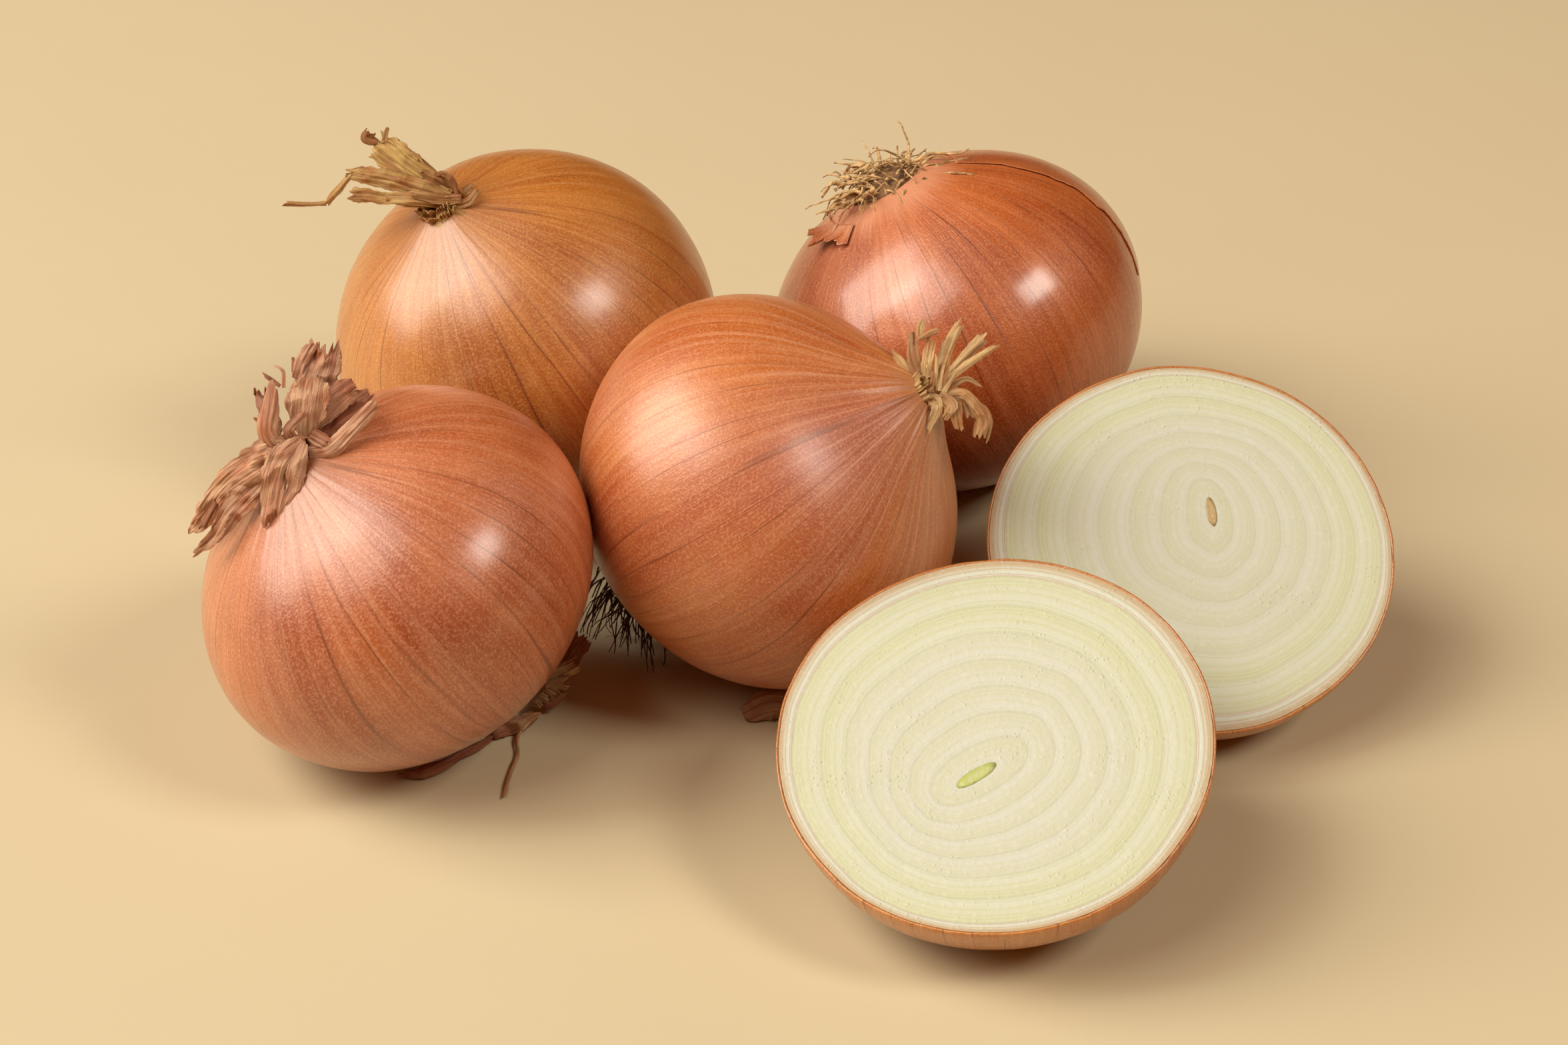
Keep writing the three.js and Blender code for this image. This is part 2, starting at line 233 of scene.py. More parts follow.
def dry_onion_skin(
    name, pale, warm, deep, vein, neck_tint, root_tint,
    coat_roughness=0.26, ribs=0.1, blush=None, blush_at=None,
):
    """Dry outer scale of a brown onion: thin, satin, grown with parallel veins. To the eye it is a warm,
    uneven brown with long fine streaks from root to neck, and a broad soft shine."""
    material, tree, shader = new_material(
        name, IOR=1.5, Specular_IOR_Level=0.9, Specular_Tint=linear("#ffecd8"), Coat_Weight=0.9,
        Coat_Roughness=coat_roughness, Coat_IOR=1.5, Subsurface_Weight=0.08, Subsurface_Scale=0.003,
    )
    shader.inputs["Subsurface Radius"].default_value = (1.0, 0.45, 0.2)
    along = add_node(tree, "Attribute", {}, attribute_name="along_skin").outputs["Vector"]
    spot = add_node(tree, "TexCoord", {}).outputs["Object"]

    # Broad uneven areas, then long streaks about 3 mm wide, then fibres under a millimetre wide.
    noises, masks = [], []
    for scale, detail, roughness, low, high, most in (
        ((1.5, 1.5, 2.4), 4.0, 0.55, 0.38, 0.64, 1.0),
        ((24.0, 24.0, 2.6), 5.0, 0.6, 0.42, 0.72, 0.42),
        ((85.0, 85.0, 10.0), 4.0, 0.65, 0.34, 0.66, 0.4),
    ):
        spread = add_node(tree, "Mapping", {"Vector": along, "Scale": scale}).outputs[0]
        shape = {"Vector": spread, "Scale": 1.0, "Detail": detail, "Roughness": roughness}
        noises.append(add_node(tree, "TexNoise", shape).outputs["Fac"])
        limits = {"Value": noises[-1], "From Min": low, "From Max": high, "To Max": most}
        masks.append(add_node(tree, "MapRange", limits).outputs[0])
    _, streaks, fibres = noises
    area_mask, streak_mask, fibre_mask = masks
    colour = add_node(
        tree, "Mix", {0: area_mask, 6: linear(warm), 7: linear(deep)}, data_type="RGBA"
    ).outputs[2]
    layers = [(streak_mask, pale), (fibre_mask, deep)]

    # Blush: a coloured patch round one direction of the bulb.
    if blush:
        away = add_node(tree, "VectorMath", {0: along, 1: blush_at}, operation="DISTANCE").outputs["Value"]
        ragged = add_node(tree, "TexNoise", {"Vector": spot, "Scale": 160.0, "Detail": 6.0, "Roughness": 0.7})
        edge = add_node(tree, "Math", {0: away, 1: ragged.outputs["Fac"]}, operation="ADD").outputs[0]
        limits = {"Value": edge, "From Min": 0.62, "From Max": 1.15, "To Min": 0.62, "To Max": 0.0}
        blush_mask = add_node(tree, "MapRange", limits).outputs[0]
        layers.append((blush_mask, blush))

    # Mottling: blotches about 4 mm across, and pale grains that are drawn coarser than the real cells so that
    # they show. The pale grains are partly painted glints: they stand for the sparkle in the shine as well as
    # the cells.
    blots = add_node(
        tree, "TexNoise", {"Vector": spot, "Scale": 240.0, "Detail": 6.0, "Roughness": 0.7}
    ).outputs["Fac"]
    cells = add_node(tree, "TexNoise", {"Vector": spot, "Scale": 2000.0, "Detail": 1.0}).outputs["Fac"]
    for value, low, high, most, tint in ((blots, 0.48, 0.68, 0.3, deep), (cells, 0.45, 0.7, 0.35, pale)):
        limits = {"Value": value, "From Min": low, "From Max": high, "To Max": most}
        layers.append((add_node(tree, "MapRange", limits).outputs[0], tint))

    # Veins: fine dark lines, unevenly spaced, that fade in and out along their length.
    turns = add_node(tree, "Attribute", {}, attribute_name="turns_round").outputs["Fac"]
    sway = add_node(tree, "Mapping", {"Vector": along, "Scale": (3.5, 3.5, 0.9)}).outputs[0]
    sway = add_node(
        tree, "TexNoise", {"Vector": sway, "Scale": 1.0, "Detail": 3.0, "Roughness": 0.4}
    ).outputs["Fac"]
    sway = add_node(tree, "Math", {0: sway, 1: 3.2}, operation="MULTIPLY").outputs[0]
    counted = add_node(tree, "Math", {0: turns, 1: VEINS, 2: sway}, operation="MULTIPLY_ADD").outputs[0]
    off = add_node(tree, "Math", {0: counted, 1: 0.5}, operation="PINGPONG").outputs[0]
    vein_line = add_node(
        tree, "MapRange", {"Value": off, "From Min": 0.012, "From Max": 0.045, "To Min": 1.0, "To Max": 0.0}
    ).outputs[0]
    fading = add_node(
        tree, "Mapping", {"Vector": along, "Scale": (6.0, 6.0, 5.0), "Location": (3, 1, 2)}
    ).outputs[0]
    fade = add_node(tree, "TexNoise", {"Vector": fading, "Scale": 1.0, "Detail": 2.0}).outputs["Fac"]
    fade = add_node(
        tree, "MapRange", {"Value": fade, "From Min": 0.4, "From Max": 0.62, "To Max": 0.75}
    ).outputs[0]
    heights = add_node(tree, "SeparateXYZ", {"Vector": along}).outputs["Z"]
    near_neck = add_node(tree, "MapRange", {"Value": heights, "From Min": 0.76, "From Max": 0.9}).outputs[0]
    fade = add_node(tree, "Math", {0: fade, 1: near_neck}, operation="MAXIMUM").outputs[0]
    vein_mask = add_node(tree, "Math", {0: vein_line, 1: fade}, operation="MULTIPLY").outputs[0]
    layers.append((vein_mask, vein))

    # Ribs: pale lines between the veins, which show on the shoulder as it narrows to the neck.
    rib_line = add_node(
        tree, "MapRange", {"Value": off, "From Min": 0.42, "From Max": 0.48, "To Max": ribs}
    ).outputs[0]
    shoulder = add_node(tree, "MapRange", {"Value": heights, "From Min": 0.6, "From Max": 0.78}).outputs[0]
    rib_mask = add_node(tree, "Math", {0: rib_line, 1: shoulder}, operation="MULTIPLY").outputs[0]
    layers.append((rib_mask, "#e8b490"))

    # The two ends: drier and differently tinted where the skin is drawn together.
    torn = add_node(tree, "Math", {0: streaks, 1: 0.16}, operation="MULTIPLY").outputs[0]
    heights = add_node(tree, "Math", {0: heights, 1: torn}, operation="ADD").outputs[0]
    for tint, start, end in ((neck_tint, 0.9, 1.06), (root_tint, 0.23, 0.17)):
        end_mask = add_node(
            tree, "MapRange", {"Value": heights, "From Min": start, "From Max": end, "To Max": 0.8}
        ).outputs[0]
        layers.append((end_mask, tint))

    # A few dark specks of mould and soil, up to a millimetre across.
    dots = add_node(
        tree, "TexVoronoi", {"Vector": spot, "Scale": 95.0, "Randomness": 1.0}
    ).outputs["Distance"]
    dot = add_node(
        tree, "MapRange", {"Value": dots, "From Min": 0.03, "From Max": 0.06, "To Min": 1.0, "To Max": 0.0}
    ).outputs[0]
    rare = add_node(tree, "TexNoise", {"Vector": spot, "Scale": 55.0, "Detail": 2.0}).outputs["Fac"]
    rare = add_node(
        tree, "MapRange", {"Value": rare, "From Min": 0.6, "From Max": 0.66, "To Max": 0.8}
    ).outputs[0]
    dot = add_node(tree, "Math", {0: dot, 1: rare}, operation="MULTIPLY").outputs[0]
    layers.append((dot, "#4a2a18"))
    for mask, tint in layers:
        colour = add_node(
            tree, "Mix", {0: mask, 6: colour, 7: linear(tint)}, data_type="RGBA"
        ).outputs[2]
    tree.links.new(colour, shader.inputs["Base Color"])

    # The shine breaks up along the fibres, and the veins stand out by about a tenth of a millimetre.
    sheen = add_node(
        tree, "MapRange", {"Value": fibres, "From Min": 0.3, "From Max": 0.7, "To Min": 0.38, "To Max": 0.54}
    ).outputs[0]
    tree.links.new(sheen, shader.inputs["Roughness"])
    height = fibres
    for relief, share in ((vein_line, 0.35), (streaks, 0.6), (cells, 0.8)):
        height = add_node(
            tree, "Math", {0: relief, 1: share, 2: height}, operation="MULTIPLY_ADD"
        ).outputs[0]
    bump = add_node(tree, "Bump", {"Height": height, "Strength": 0.4, "Distance": 0.0004})
    tree.links.new(bump.outputs["Normal"], shader.inputs["Normal"])
    return material


def mark_turns(shell):
    """Stores how far round the onion each corner of a skin lies, in turns, so that its veins can be
    counted."""
    way = shell.verts.layers.float_vector["along_skin"]
    turns = shell.loops.layers.float.new("turns_round")
    for face in shell.faces:
        here = [atan2(loop.vert[way].y, loop.vert[way].x) / (2 * pi) for loop in face.loops]
        for loop, turn in zip(face.loops, here):
            loop[turns] = turn + (1 if max(here) - turn > 0.5 else 0)


SKINS = {
    "back_left": dry_onion_skin(
        "satin_golden_onion_skin", pale="#e0aa60", warm="#c47824", deep="#9c4e08", vein="#6e3610",
        neck_tint="#a86c36", root_tint="#a5713f",
    ),
    "back_right": dry_onion_skin(
        "glossy_coppery_onion_skin", pale="#e09462", warm="#c26422", deep="#923803", vein="#64260c",
        neck_tint="#8f4526", root_tint="#d8946e", coat_roughness=0.2,
    ),
    "center": dry_onion_skin(
        "satin_orange_onion_skin", pale="#eeb082", warm="#d07c30", deep="#a84606", vein="#7e3a16",
        neck_tint="#b5793f", root_tint="#8f5a36", coat_roughness=0.34, ribs=0.4, blush="#b05a44",
        blush_at=(-0.42, -0.91, 0.78),
    ),
    "front_left": dry_onion_skin(
        "satin_rosy_onion_skin", pale="#e8a880", warm="#ca723a", deep="#983e0a", vein="#703216",
        neck_tint="#a06a48", root_tint="#8a4a2e",
    ),
}


def seated(box, shell, turn):
    """The turn and move that bring a shell to where its solid's box says that it lies."""
    low, high = (Vector(c) / MM for c in box)
    corners = [turn @ v.co for v in shell.verts]
    x, y = ((min(c[i] for c in corners) + max(c[i] for c in corners)) / 2 for i in (0, 1))
    at = Vector(((low.x + high.x) / 2 - x, (low.y + high.y) / 2 - y, high.z - max(c.z for c in corners)))
    return Matrix.Translation(at) @ turn


AROUND = 200
for name, bulb in BULBS.items():
    heading, lean = radians(bulb["heading"]), radians(bulb["lean"])
    bulb["turn"] = Matrix.Rotation(heading, 4, "Z") @ Matrix.Rotation(lean, 4, "Y")
    to_plate = acos(bulb["plate"][0] / bulb["equator"])
    to_neck = acos(bulb["neck"][0] / bulb["equator"])
    rows = [-to_plate * (1 - (1 - i / 44) ** 1.5) for i in range(44, 0, -1)]
    rows += [to_neck * (1 - (1 - i / 52) ** 1.7) for i in range(53)]
    ring = [skin_height(bulb, latitude) for latitude in rows]
    bulb["bottom"], bulb["top"] = ring[0][1], ring[-1][1]
    shell = turned([(0, ring[0][1]), *ring, (0, ring[-1][1])], AROUND)
    bulb["place"] = seated(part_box(name + "_bulb"), shell, bulb["turn"])

    way = shell.verts.layers.float_vector.new("along_skin")
    for vert in shell.verts:
        radius, turn = hypot(vert.co.x, vert.co.y), atan2(vert.co.y, vert.co.x)
        end = bulb["top"] if vert.co.z > 0 else -bulb["bottom"]
        climb = asin(max(-1, min(1, vert.co.z / end))) / pi + 0.5
        vert[way] = (cos(turn), sin(turn), climb)
        vert.co = bulb["place"] @ grown(bulb, radius, vert.co.z, turn)
        vert.co.z = max(0.0, vert.co.z)
    mark_turns(shell)
    add_piece(name + "_onion", shell, [SKINS[name]], [name + "_bulb"])

# ---- Dry necks ----
# The dead leaf bases above each bulb, cut short: a tight pleated collar with torn papery blades splaying
# from it. Each blade is ribbed along its length, curls across, is crumpled, and ends in torn teeth.


def papery_leaf(name, pale, mid, dark):
    """Dead onion leaf: dry, matt, ribbed along the blade. To the eye it is straw to brown with fine long
    streaks, and some blades are darker than others."""
    material, tree, shader = new_material(
        name, Roughness=0.5, IOR=1.45, Subsurface_Weight=0.05, Subsurface_Scale=0.0015
    )
    along = add_node(tree, "Attribute", {}, attribute_name="along_leaf").outputs["Vector"]
    tone = add_node(tree, "Attribute", {}, attribute_name="leaf_tone").outputs["Fac"]
    ribs = add_node(tree, "Mapping", {"Vector": along, "Scale": (2.4, 0.12, 1.0)}).outputs[0]
    streaks = add_node(
        tree, "TexNoise", {"Vector": ribs, "Scale": 1.0, "Detail": 5.0, "Roughness": 0.7}
    ).outputs["Fac"]
    blotches = add_node(tree, "Mapping", {"Vector": along, "Scale": (0.3, 0.16, 1.0)}).outputs[0]
    blotch = add_node(tree, "TexNoise", {"Vector": blotches, "Scale": 1.0, "Detail": 3.0}).outputs["Fac"]
    streak_mask = add_node(
        tree, "MapRange", {"Value": streaks, "From Min": 0.42, "From Max": 0.62, "To Max": 0.75}
    ).outputs[0]
    blotch_mask = add_node(tree, "MapRange", {"Value": blotch, "From Min": 0.42, "From Max": 0.66}).outputs[0]
    colour = add_node(
        tree, "Mix", {0: blotch_mask, 6: linear(pale), 7: linear(mid)}, data_type="RGBA"
    ).outputs[2]
    shade = add_node(tree, "Math", {0: tone, 1: 0.7}, operation="MULTIPLY").outputs[0]
    for mask in (streak_mask, shade):
        colour = add_node(tree, "Mix", {0: mask, 6: colour, 7: linear(dark)}, data_type="RGBA").outputs[2]
    tree.links.new(colour, shader.inputs["Base Color"])
    bump = add_node(tree, "Bump", {"Height": streaks, "Strength": 0.8, "Distance": 0.0005})
    tree.links.new(bump.outputs["Normal"], shader.inputs["Normal"])
    return material


def towards(heading, rise):
    """The direction of a heading, round from +X, and a rise above level, in degrees."""
    level = cos(radians(rise))
    return Vector((level * cos(radians(heading)), level * sin(radians(heading)), sin(radians(rise))))


LOOKING_DOWN = 33  # Degrees.


def seen(right, up, near):
    """A shift as it is seen from the front, looking down: to the right, up, and nearer."""
    slope = radians(LOOKING_DOWN)
    return Vector((right, up * sin(slope) - near * cos(slope), up * cos(slope) + near * sin(slope)))


def on_curve(points, t):
    """Where a smooth curve through points is at t, from 0 to 1. The points may be vectors or numbers."""
    k = min(int(t * (len(points) - 1)), len(points) - 2)
    u = t * (len(points) - 1) - k
    a, b, c, d = points[max(k - 1, 0)], points[k], points[k + 1], points[min(k + 2, len(points) - 1)]
    return 0.5 * (2 * b + (c - a) * u + (2 * a - 5 * b + 4 * c - d) * u * u + (3 * b - a - 3 * c + d) * u**3)


def leaf_layers(tuft):
    """The attributes of dry leaf that its material reads: where on the leaf a point is, and its tone."""
    layers = tuft.verts.layers
    return (
        layers.float_vector.get("along_leaf") or layers.float_vector.new("along_leaf"),
        layers.float.get("leaf_tone") or layers.float.new("leaf_tone"),
    )


def paper_blade(tuft, points, widths, tone=0.3, cup=30, roll=0, crumple=0.5, teeth=1.5):
    """A torn strip of dry leaf along points: as wide as widths say, ribbed along, curled across by cup
    degrees, crumpled by up to crumple and torn at its end by up to teeth. It faces the front, and roll
    turns it."""
    rows, columns = 28, 16
    way, shade = leaf_layers(tuft)
    made = bmesh.ops.create_grid(tuft, x_segments=columns, y_segments=rows, size=0.5)["verts"]
    long = sum((b - a).length for a, b in zip(points, points[1:]))
    seed = 0.37 * points[0].x + 1.3 * points[-1].z + 2.9 * long
    spine = []
    for i in range(rows + 1):
        t = i / rows
        along = (on_curve(points, min(1, t + 0.02)) - on_curve(points, max(0, t - 0.02))).normalized()
        across = Matrix.Rotation(radians(roll), 3, along) @ along.cross(seen(0, 0, 1)).normalized()
        spine.append((on_curve(points, t), along, across, across.cross(along), on_curve(widths, t)))
    for vert in made:
        side, t = 2 * vert.co.x, vert.co.y + 0.5
        middle, along, across, out, width = spine[round(t * rows)]
        reach, run = side * width / 2, t * long
        frayed = 0.22 * noise.noise(Vector((0.5 * run, seed, 9 * side)))
        frayed += 0.12 * noise.noise(Vector((2.1 * run, seed, side)))
        angle = radians(cup) * side * 0.5
        curl = width * (1 + frayed * abs(side) ** 3) / radians(cup)
        torn = noise.noise(Vector((0.7 * reach, seed, 0))) + noise.noise(Vector((1.9 * reach, seed, 3)))
        ruck = 1.2 * crumple * (0.45 - abs(noise.noise(Vector((0.22 * reach, 0.2 * run, seed)))) * 2)
        ruck += 0.5 * crumple * noise.noise(Vector((0.7 * reach, 0.45 * run, seed + 5)))
        rib = 0.3 * noise.noise(Vector((1.5 * reach, 0.05 * run, seed + 2)))
        vert.co = (
            middle + along * (teeth * torn * max(0, t - 0.6) / 0.4)
            + across * (curl * sin(angle))
            + out * (ruck * min(1, 4 * t) + rib - curl * (1 - cos(angle)))
        )
        vert[way] = (reach, run, seed)
        vert[shade] = tone


def keep_above(shape, height):
    """Keeps a shape off the table, which is at 0."""
    for vert in shape.verts:
        vert.co.z = max(vert.co.z, height)


def thin_sheet(piece, thickness):
    """Gives a sheet its thickness, in millimetres, half to each side."""
    wall = piece.modifiers.new("thickness", "SOLIDIFY")
    wall.thickness = thickness * MM
    wall.offset = 0
    return piece


def collar(tuft, bulb, radius, height, flare, pleats, point):
    """The pleated sleeve of a neck: a spun wall, folded in and out round its way, with a torn upper edge."""
    way, shade = leaf_layers(tuft)
    wall = [tuft.verts.new((radius + flare * (i / 10) ** 1.6, 0, height * i / 10)) for i in range(11)]
    edges = [tuft.edges.new(pair) for pair in zip(wall, wall[1:])]
    bmesh.ops.spin(
        tuft, geom=wall + edges, cent=(0, 0, 0), axis=(0, 0, 1), angle=2 * pi, steps=96, use_merge=True
    )
    for vert in [v for v in tuft.verts if v[way].length == 0]:
        turn, up = atan2(vert.co.y, vert.co.x), vert.co.z / height
        way_round = Vector((cos(turn), sin(turn), 0))
        fold = noise.noise(6.0 * way_round + Vector((0, 0, bulb["seed"]))) + 0.7 * noise.noise(
            15.0 * way_round + Vector((0, 0, bulb["seed"] + 4 + 0.2 * up))
        )
        torn = noise.noise(5.0 * way_round + Vector((0, 0, bulb["seed"] + 8))) + 0.6 * noise.noise(
            19.0 * way_round + Vector((0, 0, 3))
        )
        reach = hypot(vert.co.x, vert.co.y) * (1 + pleats * fold)
        lift = vert.co.z + 0.45 * height * torn * up**2
        vert[way] = (radius * turn, vert.co.z + 0.01, bulb["seed"])
        vert[shade] = 0.35
        vert.co = bulb["turn"] @ Vector((reach * cos(turn), reach * sin(turn), lift)) + point


